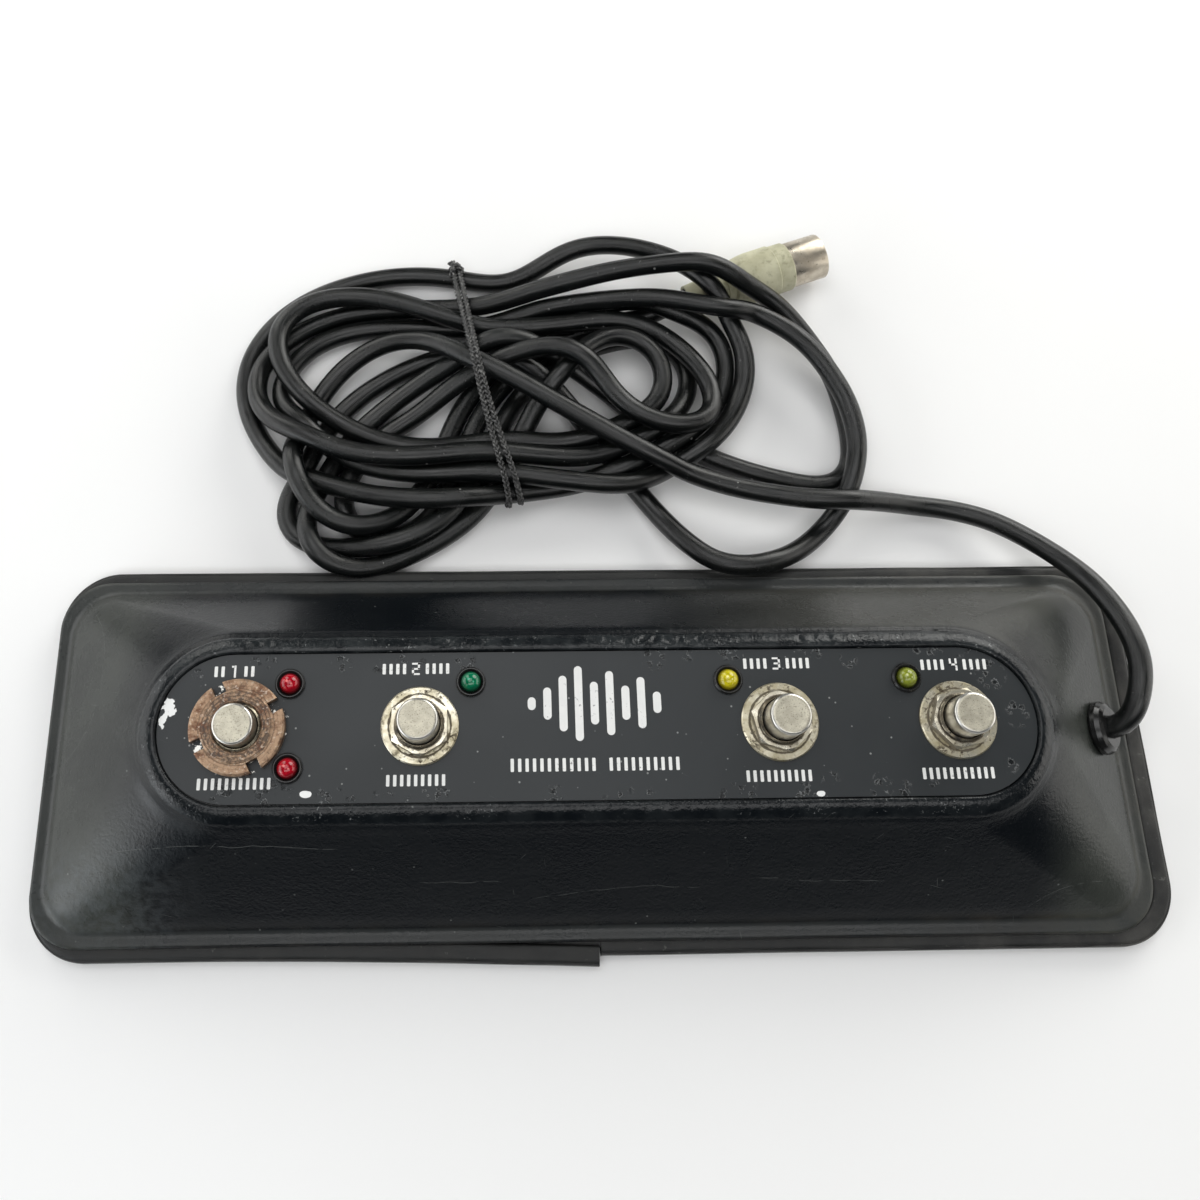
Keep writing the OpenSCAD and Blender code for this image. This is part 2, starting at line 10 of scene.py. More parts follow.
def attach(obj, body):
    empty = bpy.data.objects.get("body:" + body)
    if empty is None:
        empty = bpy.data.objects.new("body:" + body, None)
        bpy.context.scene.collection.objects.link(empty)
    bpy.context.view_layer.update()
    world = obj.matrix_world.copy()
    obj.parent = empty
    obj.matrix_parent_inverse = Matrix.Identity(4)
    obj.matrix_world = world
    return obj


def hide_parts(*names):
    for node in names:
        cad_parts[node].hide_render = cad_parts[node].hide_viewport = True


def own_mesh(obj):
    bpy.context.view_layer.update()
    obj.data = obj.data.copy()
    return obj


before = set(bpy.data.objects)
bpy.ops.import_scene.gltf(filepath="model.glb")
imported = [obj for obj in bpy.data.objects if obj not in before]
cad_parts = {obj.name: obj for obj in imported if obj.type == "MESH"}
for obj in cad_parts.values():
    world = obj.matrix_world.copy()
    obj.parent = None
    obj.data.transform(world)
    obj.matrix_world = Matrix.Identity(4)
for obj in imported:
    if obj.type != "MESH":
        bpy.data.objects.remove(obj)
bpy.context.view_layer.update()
MM = 0.001


def mm(value):
    """Millimetres to metres, for a number or any list of numbers."""
    return np.asarray(value, float) * MM


def unit(v):
    """The vector scaled to length 1."""
    return v / np.linalg.norm(v)


# ---- camera

CAMERA_AT = (-28.4, -36.0, 316.9)
CAMERA_TILT = 20.4       # degrees from straight down, towards +Y
CAMERA_YAW = -1.434
CAMERA_ROLL = -0.875
CAMERA_LENS = 36.02      # on a 36 mm sensor
CAMERA_SHIFT = (0.0702, -0.1147)


def make_camera():
    """Camera that sees the footswitch as the photograph does."""
    tilt = math.radians(CAMERA_TILT)
    yaw = math.radians(CAMERA_YAW)
    roll = math.radians(CAMERA_ROLL)
    turn_tilt = np.array([
        [1, 0, 0], [0, math.cos(tilt), math.sin(tilt)], [0, -math.sin(tilt), math.cos(tilt)]])
    turn_yaw = np.array([
        [math.cos(yaw), 0, math.sin(yaw)], [0, 1, 0], [-math.sin(yaw), 0, math.cos(yaw)]])
    turn_roll = np.array([
        [math.cos(roll), -math.sin(roll), 0], [math.sin(roll), math.cos(roll), 0], [0, 0, 1]])
    right, down, forward = turn_roll @ turn_tilt @ turn_yaw @ np.diag([1, -1, -1])
    data = bpy.data.cameras.new("camera")
    data.sensor_width = 36
    data.lens = CAMERA_LENS
    data.shift_x, data.shift_y = CAMERA_SHIFT
    data.clip_start = 0.01
    camera = bpy.data.objects.new("camera", data)
    axes = Matrix([list(row) for row in np.column_stack([right, -down, -forward])])
    camera.matrix_world = Matrix.Translation(Vector(mm(CAMERA_AT))) @ axes.to_4x4()
    bpy.context.scene.collection.objects.link(camera)
    bpy.context.scene.camera = camera


make_camera()

# ---- mesh helpers


def new_mesh(name, points, faces, smooth=True):
    """Mesh object from points in metres."""
    data = bpy.data.meshes.new(name)
    data.from_pydata([tuple(p) for p in points], [], [tuple(int(i) for i in f) for f in faces])
    data.validate()
    data.shade_smooth() if smooth else data.shade_flat()
    obj = bpy.data.objects.new(name, data)
    bpy.context.scene.collection.objects.link(obj)
    return obj


def ring_faces(rings, around, closed=False):
    """Quads between rings of the same number of points; an open row of rings gets flat ends."""
    faces = []
    for k in range(rings if closed else rings - 1):
        a = k * around
        b = ((k + 1) % rings) * around
        for i in range(around):
            j = (i + 1) % around
            faces.append((a + i, a + j, b + j, b + i))
    if not closed:
        faces.append(tuple(range(around - 1, -1, -1)))
        last = (rings - 1) * around
        faces.append(tuple(range(last, last + around)))
    return faces


def along_path(points):
    """Distance along a line of points, at each of them."""
    return np.r_[0, np.cumsum(np.linalg.norm(np.diff(points, axis=0), axis=1))]


def corner_points(obj):
    """Number of the vertex at each corner of each face."""
    corners = np.zeros(len(obj.data.loops), int)
    obj.data.loops.foreach_get("vertex_index", corners)
    return corners


def set_uv(obj, coords):
    """UV map from one pair of numbers for each corner of each face."""
    layer = obj.data.uv_layers.new(name="UVMap")
    layer.data.foreach_set("uv", coords.astype(np.float32).ravel())


def path_frames(path):
    """Tangent and two side directions at each point, carried along without twist."""
    tangents = np.gradient(path, axis=0)
    tangents /= np.linalg.norm(tangents, axis=1, keepdims=True)
    start = np.cross(tangents[0], (0, 0, 1.0))
    if np.linalg.norm(start) < 0.1:
        start = np.cross(tangents[0], (0, 1.0, 0))
    side = unit(start)
    sides = []
    for t in tangents:
        side = unit(side - t * np.dot(side, t))
        sides.append(side)
    sides = np.array(sides)
    return tangents, sides, np.cross(tangents, sides)


def tube(name, path, radius, around, swell=None):
    """Round tube with flat ends; UV runs along the length (metres) and around it."""
    _, sides, ups = path_frames(path)
    angles = 2 * math.pi * (np.arange(around) + 0.5) / around
    radii = np.broadcast_to(np.asarray(radius, float), (len(path),))[:, None]
    radii = np.repeat(radii, around, axis=1)
    if swell is not None:
        radii = radii + swell(np.arange(len(path)), angles)
    ring = np.cos(angles)[None, :, None] * sides[:, None] + np.sin(angles)[None, :, None] * ups[:, None]
    points = path[:, None] + radii[:, :, None] * ring
    obj = new_mesh(name, points.reshape(-1, 3), ring_faces(len(path), around))
    corners = corner_points(obj)
    coords = np.column_stack([along_path(path)[corners // around], (corners % around) / around])
    # Faces across the seam keep their corners together
    for start in [p.loop_start for p in obj.data.polygons if p.loop_total == 4]:
        turns = coords[start:start + 4, 1]
        if turns.max() - turns.min() > 0.5:
            turns += turns < 0.5
    set_uv(obj, coords)
    return obj


def lathe(name, profile, around, at, closed=True, axis=None):
    """Turned piece: profile is a list of (radius, height) in millimetres, from the bottom up the outside."""
    profile = np.array(profile, float)
    angles = 2 * math.pi * np.arange(around) / around
    points = np.array([[r * math.cos(a), r * math.sin(a), z] for r, z in profile for a in angles])
    if axis is not None:
        points = points @ np.array(axis).T
    points = mm(points + np.array(at))
    return new_mesh(name, points, ring_faces(len(profile), around, closed))


def sharpen(obj, degrees=35):
    """Smooth shading that keeps edges sharper than the given angle."""
    obj.data.set_sharp_from_angle(angle=math.radians(degrees))


def cut(target, cutters):
    """Cuts each cutter out of the target and removes the cutter."""
    for cutter in cutters:
        step = target.modifiers.new("cut", "BOOLEAN")
        step.operation = "DIFFERENCE"
        step.solver = "MANIFOLD"
        step.object = cutter
        bpy.context.view_layer.update()
        shown = target.evaluated_get(bpy.context.evaluated_depsgraph_get())
        made = bpy.data.meshes.new_from_object(shown)
        target.modifiers.clear()
        target.data = made
        bpy.data.objects.remove(cutter)
    return target


def slab(points, z_from, z_to):
    """Points and faces of a flat plate with the given outline."""
    count = len(points)
    solid = [(x, y, z) for z in (z_from, z_to) for x, y in points]
    faces = [tuple(range(count - 1, -1, -1)), tuple(range(count, 2 * count))]
    faces += [(i, (i + 1) % count, count + (i + 1) % count, count + i) for i in range(count)]
    return solid, faces


# ---- cable route

CABLE_D = 5.6
# From inside the housing, out of the grommet and down to the hank
RUN = [
    (118.5, 4.3, 7.7), (123.2, 4.3, 12.9), (127.9, 4.3, 18.2),
    (129.9, 6.6, 21.2), (131.5, 11.2, 23.2), (133.2, 18, 23.3), (133.4, 25.5, 21.8), (131.8, 33.5, 19.2),
    (128.8, 41, 16.4), (124.6, 47.6, 13.2), (117.8, 55, 9.4), (109, 61.6, 6.2), (99, 65.4, 4.2),
    (89, 66.7, 4.6), (79, 66.6, 8.6), (69, 66, 12.4), (59, 66.4, 12), (49, 68.4, 10.4),
    (41, 70.2, 9.8), (32.5, 72.6, 9.8), (24, 75.6, 10.6)]
# Two turns that have come loose and lie as larger loops on the hank's right
LOOP_OUTER = [
    (45, 123, 13.6), (51, 120.2, 13.2), (57, 116.6, 12.8), (62, 112.4, 12), (66, 107.5, 11.2),
    (72, 96, 10), (74, 85, 9.2), (72.4, 75.4, 8.8), (68.8, 67, 6.2), (63, 60, 4), (56, 54.2, 5.4),
    (48, 50.2, 8.6), (40, 48.6, 9.8), (32.4, 50, 9.2), (25.6, 55.6, 7), (19.6, 63, 4.4), (14, 70.6, 3.2)]
LOOP_INNER = [
    (46, 129.4, 15.6), (51, 127.2, 13.6), (55.6, 124.6, 11.4), (60.6, 120.2, 8.6), (64.8, 115.2, 6.4),
    (70.4, 106.4, 4.2), (73, 96.5, 3.2), (74, 86.5, 3), (73, 79, 3), (69, 74.4, 3), (62.6, 73.2, 3),
    (55.6, 74.4, 3), (48, 76.4, 3), (40, 79.2, 3), (32, 82.6, 3)]
INTO_PLUG = [(29.4, 129.6, 7.6), (32.2, 130.6, 7.6)]
PLUG_TURN = 19
# The cable in order. "held" points are fixed, "free" ones may settle, and a bend of the hank is
# part of an ellipse: centre x, y, half axes, lean, angles from and to, heights from and to.
CABLE_ROUTE = [
    ("held", RUN),
    ("free", [(13, 80, 12), (2, 87, 15), (-9, 94, 18), (-17, 100, 20), (-25, 106, 22)]),
    ("bend", (-56, 88, 31, 23, 70, -27, 213, 24, 6)),
    ("free", [(-40, 78, 5), (-37, 90, 5), (-31, 102, 5), (-21, 113, 6), (-6, 123, 7)]),
    ("bend", (3, 99, 41, 27, 27, 61, -67, 8, 10)),
    ("free", [(14, 77, 10), (2, 73, 10)]),
    ("bend", (-47, 103, 50, 37, -4, -56, -280, 9, 12)),
    ("free", [(-22, 135, 13)]),
    ("bend", (4, 113, 42, 35, -14, 113, -50, 12, 10)),
    ("free", [(24, 80, 10), (2, 75, 12), (-14, 75, 13)]),
    ("bend", (-46, 101, 41, 26, 3, -66, -237, 14, 17)),
    ("free", [(-44, 122, 17), (-36, 121, 17), (-25, 122, 17), (-8, 126, 16), (4, 127, 16), (15, 128, 16),
              (26, 127, 16), (38, 125.6, 14.8)]),
    ("held", LOOP_OUTER),
    ("free", [(6, 81, 3), (-1, 92, 4), (-8, 101, 6), (-18, 110, 9), (-30, 114, 10)]),
    ("bend", (-52, 84, 22, 38, -55, 141, 360, 9, 8)),
    ("free", [(-31, 77, 6), (-27, 88, 5), (-22, 100, 6), (-14, 111, 8), (-4, 118, 9)]),
    ("bend", (6, 102, 19, 24, -59, 152, 0, 10, 9)),
    ("free", [(2, 79, 14), (-9, 79, 16)]),
    ("bend", (-51, 103, 44, 25, -4, -60, -266, 18, 20)),
    ("free", [(-36, 126, 20.5), (-25, 126, 21), (-8, 130, 20.5), (4, 133, 20), (15, 134, 20),
              (26, 133.6, 19.6), (38, 131.8, 18)]),
    ("held", LOOP_INNER),
    ("free", [(24, 87, 4), (15, 93, 5), (4, 102, 6), (-8, 111, 8), (-20, 114, 10)]),
    ("bend", (-46, 83, 43, 18, 38, 62, 262, 9, 9)),
    ("free", [(-28, 76, 8), (-21, 88, 8), (-17, 99, 9), (-11, 108, 10), (-3, 114, 11)]),
    ("bend", (6, 102, 15, 17, -28, 110, -59, 12, 10)),
    ("free", [(-9, 83, 13)]),
    ("bend", (-55, 106, 36, 21, -24, -32, -272, 20, 23)),
    ("free", [(-34, 120, 20), (-23, 117, 18), (-8, 119, 17)]),
    ("bend", (17, 104, 23, 13, -42, 165, -100, 18, 12)),
    ("free", [(3, 106, 14), (-7, 112, 13), (-22, 112, 12), (-40, 103, 9)]),
    ("bend", (-51, 74, 15, 20, -22, 115, 363, 6, 4)),
    ("free", [(-40, 70, 4), (-36, 82, 3), (-32, 94, 3), (-25, 105, 3), (-15, 114, 3), (-3, 119.6, 3),
              (9, 122.8, 4.6), (20.2, 126.4, 6.6)]),
    ("held", INTO_PLUG)]
BEND_POINTS = 12
CABLE_STEP = 3.0         # spacing of the settled points
TOUCH = 5.8              # distance of two touching cables' middles


def bend_points(cx, cy, a, b, lean, start, stop, z_from, z_to):
    """Points of one bend of the hank, as described above CABLE_ROUTE."""
    t = np.radians(np.linspace(start, stop, BEND_POINTS))
    c, s = math.cos(math.radians(lean)), math.sin(math.radians(lean))
    x = cx + a * np.cos(t) * c - b * np.sin(t) * s
    y = cy + a * np.cos(t) * s + b * np.sin(t) * c
    return np.column_stack([x, y, np.linspace(z_from, z_to, BEND_POINTS)])


def route_points():
    """All route points, and whether each is held."""
    points, held = [], []
    for kind, value in CABLE_ROUTE:
        part = bend_points(*value) if kind == "bend" else np.array(value, float)
        points.append(part)
        held += [kind == "held"] * len(part)
    return np.vstack(points), np.array(held, float)


def smooth_curve(points, held, per_span=10):
    """Centripetal Catmull-Rom curve through the points."""
    padded = np.vstack([2 * points[0] - points[1], points, 2 * points[-1] - points[-2]])
    curve, fixed = [], []
    t = np.linspace(0, 1, per_span, endpoint=False)[:, None]
    for k in range(1, len(padded) - 2):
        p0, p1, p2, p3 = padded[k - 1:k + 3]
        d1, d2, d3 = (max(np.linalg.norm(v), 0.1) ** 0.5 for v in (p1 - p0, p2 - p1, p3 - p2))
        m1 = (p2 - p1) + d2 * ((p1 - p0) / d1 - (p2 - p0) / (d1 + d2))
        m2 = (p2 - p1) + d2 * ((p3 - p2) / d3 - (p3 - p1) / (d2 + d3))
        curve.append((2 * t**3 - 3 * t**2 + 1) * p1 + (t**3 - 2 * t**2 + t) * m1
                     + (-2 * t**3 + 3 * t**2) * p2 + (t**3 - t**2) * m2)
        fixed += [held[k - 1] * held[k]] * per_span
    return np.vstack(curve + [points[-1:]]), np.array(fixed + [held[-1]])


def even_spacing(points, step, extra=None):
    """The line in equal steps; with extra, also that value at the new points."""
    along = along_path(points)
    stations = np.linspace(0, along[-1], int(round(along[-1] / step)) + 1)
    spaced = np.column_stack([np.interp(stations, along, points[:, k]) for k in range(3)])
    return spaced if extra is None else (spaced, np.interp(stations, along, extra))


def blur(points, sigma):
    """The line smoothed by a bell curve sigma points wide; its ends stay where they are."""
    reach = int(4 * sigma) + 1
    offsets = np.arange(-reach, reach + 1)
    weights = np.exp(-offsets**2 / (2 * sigma**2))
    weights /= weights.sum()
    before = 2 * points[0] - points[reach:0:-1]
    after = 2 * points[-1] - points[-2:-reach - 2:-1]
    padded = np.vstack([before, points, after])
    return np.column_stack([np.convolve(padded[:, k], weights, "valid") for k in range(3)])


BOOT_THIN = 3.9          # radius of the plug's boot where the cable enters it
BOOT_THICK = 7.5
BOOT_TAPER = 0.26        # how much the radius grows along the boot
PLUG_SPAN = (2, 42)      # stretch along the plug that strands keep clear of
PLUG_LEAD = 14           # points of the cable that lead into the plug


def push_out_of_plug(x, free):
    """Keeps the strands above and beside the plug outside it."""
    axis = np.array([math.cos(math.radians(PLUG_TURN)), math.sin(math.radians(PLUG_TURN)), 0])
    t = (x - INTO_PLUG[0]) @ axis
    room = CABLE_D / 2 + 0.1 + np.clip(BOOT_THIN + BOOT_TAPER * t, BOOT_THIN, BOOT_THICK)
    on_axis = np.array(INTO_PLUG[0]) + t[:, None] * axis
    away = x - on_axis
    reach = np.linalg.norm(away, axis=1)
    inside = (t > PLUG_SPAN[0]) & (t < PLUG_SPAN[1]) & (reach < room) & free
    inside[-PLUG_LEAD:] = False
    x[inside] = on_axis[inside] + away[inside] * (room[inside] / np.maximum(reach[inside], 0.1))[:, None]


SETTLE_ROUNDS = 1000
PARTING_ROUNDS = 160     # the last rounds, which only part the strands
SAG = 0.05               # fall in each round
PULL = 0.02              # share of the way back to the drawn route, in plan
BENDING = ((1, 0.3), (3, 0.3), (6, 0.25))    # reach in points, stiffness
PUSH = 1.4               # how much further than needed touching strands are parted


def settle(start, held):
    """Lets the hank settle under its weight: keeps lengths and curves, and keeps strands apart."""
    x = start.copy()
    count = len(x)
    rest = np.linalg.norm(np.diff(start, axis=0), axis=1)
    free = np.where(held, 0.0, 1.0)[:, None]
    loose = free[:, 0] > 0
    shape = {}
    for k, _ in BENDING:
        shape[k] = (start[:-2 * k] + start[2 * k:]) / 2 - start[k:-k]
        shape[k][:, 2] = 0
    for turn in range(SETTLE_ROUNDS):
        if turn % 6 == 0:
            # Pairs of points near enough to touch in the next rounds
            gaps = ((x[:, None] - x[None]) ** 2).sum(-1)
            one, two = np.where(np.triu(gaps < (TOUCH + 3) ** 2, 6))
        settling = turn < SETTLE_ROUNDS - PARTING_ROUNDS
        if settling:
            x[:, 2] -= SAG * free[:, 0]
            x[:, :2] += PULL * free * (start - x)[:, :2]
        for k, stiff in BENDING if settling else BENDING[:1]:
            off = (x[:-2 * k] + x[2 * k:]) / 2 - x[k:-k] - shape[k]
            move = np.zeros_like(x)
            move[k:-k] += stiff * 0.5 * off
            move[:-2 * k] -= stiff * 0.25 * off
            move[2 * k:] -= stiff * 0.25 * off
            x += move * free
        for _ in range(2):
            for first in (0, 1):
                a = np.arange(first, count - 1, 2)
                span = x[a + 1] - x[a]
                size = np.linalg.norm(span, axis=1, keepdims=True)
                share = np.maximum(free[a] + free[a + 1], 1)
                fix = (size - rest[a][:, None]) / size / share * span * 0.5
                x[a] += fix * free[a]
                x[a + 1] -= fix * free[a + 1]
            span = x[two] - x[one]
            size = np.linalg.norm(span, axis=1)
            near = size < TOUCH
            a, b = one[near], two[near]
            span, size = span[near], np.maximum(size[near], 1e-6)
            if len(a):
                share = np.maximum(free[a, 0] + free[b, 0], 1)
                fix = ((TOUCH - size) / size / share)[:, None] * span
                push = np.zeros_like(x)
                for k in range(3):
                    push[:, k] += np.bincount(b, fix[:, k], count) - np.bincount(a, fix[:, k], count)
                hits = np.bincount(a, minlength=count) + np.bincount(b, minlength=count)
                x += PUSH * free * push / np.maximum(1, hits)[:, None]
            push_out_of_plug(x, loose)
            x[:, 2] = np.where(loose, np.maximum(x[:, 2], CABLE_D / 2 + 0.05), x[:, 2])
    return x


def cable_path():
    """The settled middle line of the cable."""
    points, held = route_points()
    curve, fixed = smooth_curve(points, held)
    spaced, fixed = even_spacing(curve, CABLE_STEP, fixed)
    fixed = fixed > 0.5
    start = np.where(fixed[:, None], spaced, blur(spaced, 2.2))
    return blur(settle(start, fixed), 0.8)


cable_line = cable_path()
cable_fine, _ = smooth_curve(cable_line, np.zeros(len(cable_line)), 2)


def cable_swell(rows, angles):
    """Slight lumps where the twisted cores press on the jacket."""
    along = rows[:, None] * CABLE_STEP / 2
    lay = np.cos(3 * angles[None, :] + along * 2 * math.pi / 46)
    slow = np.sin(along * 0.11) * np.cos(2 * angles[None, :] + along * 0.05)
    return 0.035 * MM * lay + 0.06 * MM * slow


cable = tube("cable", mm(cable_fine), (CABLE_D / 2 - 0.05) * MM, 20, cable_swell)
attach(cable, "housing")
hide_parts("cable_run", "cable_loop_outer", "cable_loop_inner", "cable_hank")

# ---- braided tie

TIE_LINE = [
    (-19.5, 60), (-22, 71), (-24.5, 79), (-28, 91), (-31.5, 106), (-34, 120), (-36.2, 133), (-38, 146)]
TIE_STRAND = 0.33        # radius of one strand of the braid
TIE_WIDTH = 0.58         # how far a strand swings to each side
TIE_LIFT = 0.40          # how far a strand rises over its neighbours
TIE_LAY = 4.4            # length of one full braid crossing
TIE_LOWEST = 1.0         # middle of the braid where it lies on the floor
TIE_DROP = [(0.3, 1.3), (0, 2.8), (-1.2, 4.4), (-3.2, 5.8)]    # outwards, down: round the hank's edge


def height_over_cable(x, y, reach):
    """Height of a thin line of the given radius resting on the cable at a place in plan."""
    off = cable_fine[:, :2] - (x, y)
    near2 = (off**2).sum(1)
    room = CABLE_D / 2 + reach
    hit = near2 < room**2
    if not hit.any():
        return 0.0
    return float((cable_fine[hit, 2] + np.sqrt(room**2 - near2[hit])).max())


def upper_hull(s, z):
    """A taut line over bumps: the least line above all points that never sags."""
    keep = []
    for point in zip(s, z):
        while len(keep) > 1:
            (s0, z0), (s1, z1) = keep[-2], keep[-1]
            if (z1 - z0) * (point[0] - s0) > (point[1] - z0) * (s1 - s0):
                break
            keep.pop()
        keep.append(point)
    hull = np.array(keep)
    return np.interp(s, hull[:, 0], hull[:, 1])


def tie_path(reach):
    """Path over the hank at the tie and down to the floor at both of its sides."""
    plan = np.array([(x, y, 0.0) for x, y in TIE_LINE])
    plan, _ = smooth_curve(plan, np.zeros(len(plan)), 12)
    plan = even_spacing(plan, 0.8)
    s = along_path(plan[:, :2])
    top = np.array([height_over_cable(x, y, reach) for x, y, _ in plan])
    over = np.nonzero(top > reach + 3)[0]
    first, last = over[0], over[-1]
    z = upper_hull(s[first:last + 1], top[first:last + 1])
    line = np.column_stack([plan[first:last + 1, :2], z])
    ends = []
    for edge, inner in ((line[0], line[4]), (line[-1], line[-5])):
        out = unit((edge - inner) * (1, 1, 0))
        ends.append([edge + out * forward - (0, 0, down) for forward, down in TIE_DROP])
    path = blur(even_spacing(np.vstack([ends[0][::-1], line, ends[1]]), 0.5), 2.0)
    path[:, 2] = np.maximum(path[:, 2], TIE_LOWEST)
    return path


def braid(name, path, strands, turn=0.0):
    """Flat braid along a path: each strand swings from side to side and over its neighbours."""
    tangents, _, _ = path_frames(path)
    sides = np.cross(tangents, np.array([0.15, 0.05, 1.0]))
    sides /= np.linalg.norm(sides, axis=1, keepdims=True)
    ups = np.cross(sides, tangents)
    along = along_path(path)
    pieces = []
    for k in range(strands):
        phase = 2 * math.pi * (along / TIE_LAY + k / strands) + turn
        across = TIE_WIDTH * np.sin(phase)[:, None] * sides
        lift = TIE_LIFT * np.sin(2 * phase)[:, None] * ups
        pieces.append(tube(f"{name}_{k + 1}", mm(path + across + lift), TIE_STRAND * MM, 8))
    return pieces


def join(name, pieces):
    """One mesh from several, keeping their UV maps."""
    with bpy.context.temp_override(active_object=pieces[0], selected_editable_objects=pieces):
        bpy.ops.object.join()
    pieces[0].name = name
    pieces[0].data.name = name
    return pieces[0]


tie_reach = TIE_STRAND + 0.35
tie_line = tie_path(tie_reach)
tie_side = np.array([1.0, 0.25, 0.0])
tie_ends = np.linspace(0, 1, len(tie_line))[:, None]
# The two turns lie together over the hank and part at its near side
tie_gap = 0.72 + 1.1 * (1 - tie_ends) ** 5 + 0.12 * np.sin(9 * tie_ends)
tie_left = tie_line - tie_gap * tie_side
tie_right = (tie_line + tie_gap * tie_side)[6:-3]


# The knot at the far side, sideways, along and up: two wraps crossing over both turns, and a loose end
KNOT_PATHS = [
    [(-1.5, -1.2, -0.9), (-1.3, -0.8, 0.3), (-0.5, -0.2, 1.0), (0.5, 0.5, 1.0), (1.3, 1.0, 0.3),
     (1.5, 1.4, -0.9)],
    [(1.5, -1.0, -0.9), (1.3, -0.7, 0.5), (0.6, -0.1, 1.5), (-0.5, 0.6, 1.5), (-1.3, 1.1, 0.5),
     (-1.6, 1.5, -0.9)],
    [(0.5, 0.4, 1.2), (-0.1, 1.6, 1.5), (-0.9, 3.0, 1.2), (-1.4, 4.2, 0.2)]]
KNOT_FROM_END = 19       # points of the tie's line


def tie_knot():
    """Braided pieces of the knot, set square to the tie where it lies."""
    at = tie_line[-KNOT_FROM_END]
    along = unit(tie_line[3 - KNOT_FROM_END] - tie_line[-3 - KNOT_FROM_END])
    side = unit(tie_side - along * np.dot(tie_side, along))
    up = np.cross(side, along)
    pieces = []
    for n, path in enumerate(KNOT_PATHS):
        points = at + np.array(path) @ np.array([side, along, up])
        curve, _ = smooth_curve(points, np.zeros(len(points)))
        pieces += braid(f"knot_{n}", even_spacing(curve, 0.3), 3, n)
    return pieces


tie = join("tie_braid", braid("tie_left", tie_left, 3) + braid("tie_right", tie_right, 3, 1.1) + tie_knot())
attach(tie, "housing")
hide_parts("cable_tie")

# ---- plug sleeve

SLEEVE_FROM = 32.0       # along the plug from where the cable enters it
SLEEVE_LEN = 10.5
SLEEVE_R = 6.6
SLEEVE_WALL = 0.5
NOTCH_DEPTH = 2.6


def make_sleeve():
    """Plug sleeve with its polarising notch turned to the floor, as the photographed plug lies."""
    end = SLEEVE_FROM + SLEEVE_LEN
    bore = SLEEVE_R - SLEEVE_WALL
    turn = math.radians(PLUG_TURN)
    axes = np.array([[0, -math.sin(turn), math.cos(turn)], [0, math.cos(turn), math.sin(turn)], [-1, 0, 0]])
    profile = [(bore, SLEEVE_FROM), (SLEEVE_R - 0.05, SLEEVE_FROM), (SLEEVE_R, SLEEVE_FROM + 0.05),
               (SLEEVE_R, end - 0.22), (SLEEVE_R - 0.07, end - 0.06), (SLEEVE_R - 0.2, end),
               (bore + 0.1, end), (bore, end - 0.1)]
    made = lathe("plug_sleeve_shell", profile, 96, INTO_PLUG[0], axis=axes)
    across = [(SLEEVE_R + dx, dy) for dx, dy in ((-2, -1.2), (2, -1.2), (2, 1.2), (-2, 1.2))]
    notch, faces = slab(across, end - NOTCH_DEPTH, end + 4)
    cutter = new_mesh("notch", mm(np.array(notch) @ axes.T + np.array(INTO_PLUG[0])), faces)
    cut(made, [cutter])
    sharpen(made, 40)
    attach(made, "housing")
    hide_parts("plug_sleeve")
    return made


sleeve = make_sleeve()

# ---- housing shell

SHELL_X = -2.4
SHELL_Y = 1.3            # middle of the foot
FACE_Y = 4.3             # middle of the label plate
FACE_Z = 32.5            # top of the label plate
PLATE_R = 17.2           # round ends of the label plate
PLATE_HALF = 86.0        # from its middle to the middle of a round end
RIM_Z = 5.1              # underside of the moulding
HALF_L = 137.5           # half length and half depth of its foot
HALF_D = 45.0
CORNER = 12.5
PITCH = 42.2             # a place between the second and third switch stays free
SWITCH_X = [SHELL_X + PITCH * place for place in (-2, -1, 1, 2)]
LAMP_XY = [(SWITCH_X[n] + dx, FACE_Y + dy) for n, dx, dy in
           ((0, 11.6, 10.1), (0, 11.9, -9.3), (1, 11.9, 10.1), (2, -11.5, 10), (3, -11.0, 10))]
SCREW_SPOTS = [(-116, -25), (-116, 28), (116, -25), (116, 28), (-2.4, -29), (-2.4, 31)]
RECESS_Z = 31.4
CEILING = 28.4           # top of the hollow under the shell
BOSS_R = 3.75
SCREW_HOLE_R = 1.75
SCREW_HOLE_TOP = 13.6
SWITCH_BORE_R = 5.9
LAMP_SEAT_R = 3.25
GROMMET_BORE_R = 4.6
ARC_POINTS = 20          # points round each corner
LIP_STEPS = 380          # points along each long side


def lip(z, out):
    """Level of the raised lip, so far outside the label plate."""
    r = PLATE_R + out
    return (z, PLATE_HALF + r, r, r, FACE_Y)


def foot(z, inset, corner_inset=0.0):
    """Level near the foot, so far inside its widest outline."""
    return (z, HALF_L - inset, HALF_D - inset, CORNER - corner_inset, SHELL_Y)


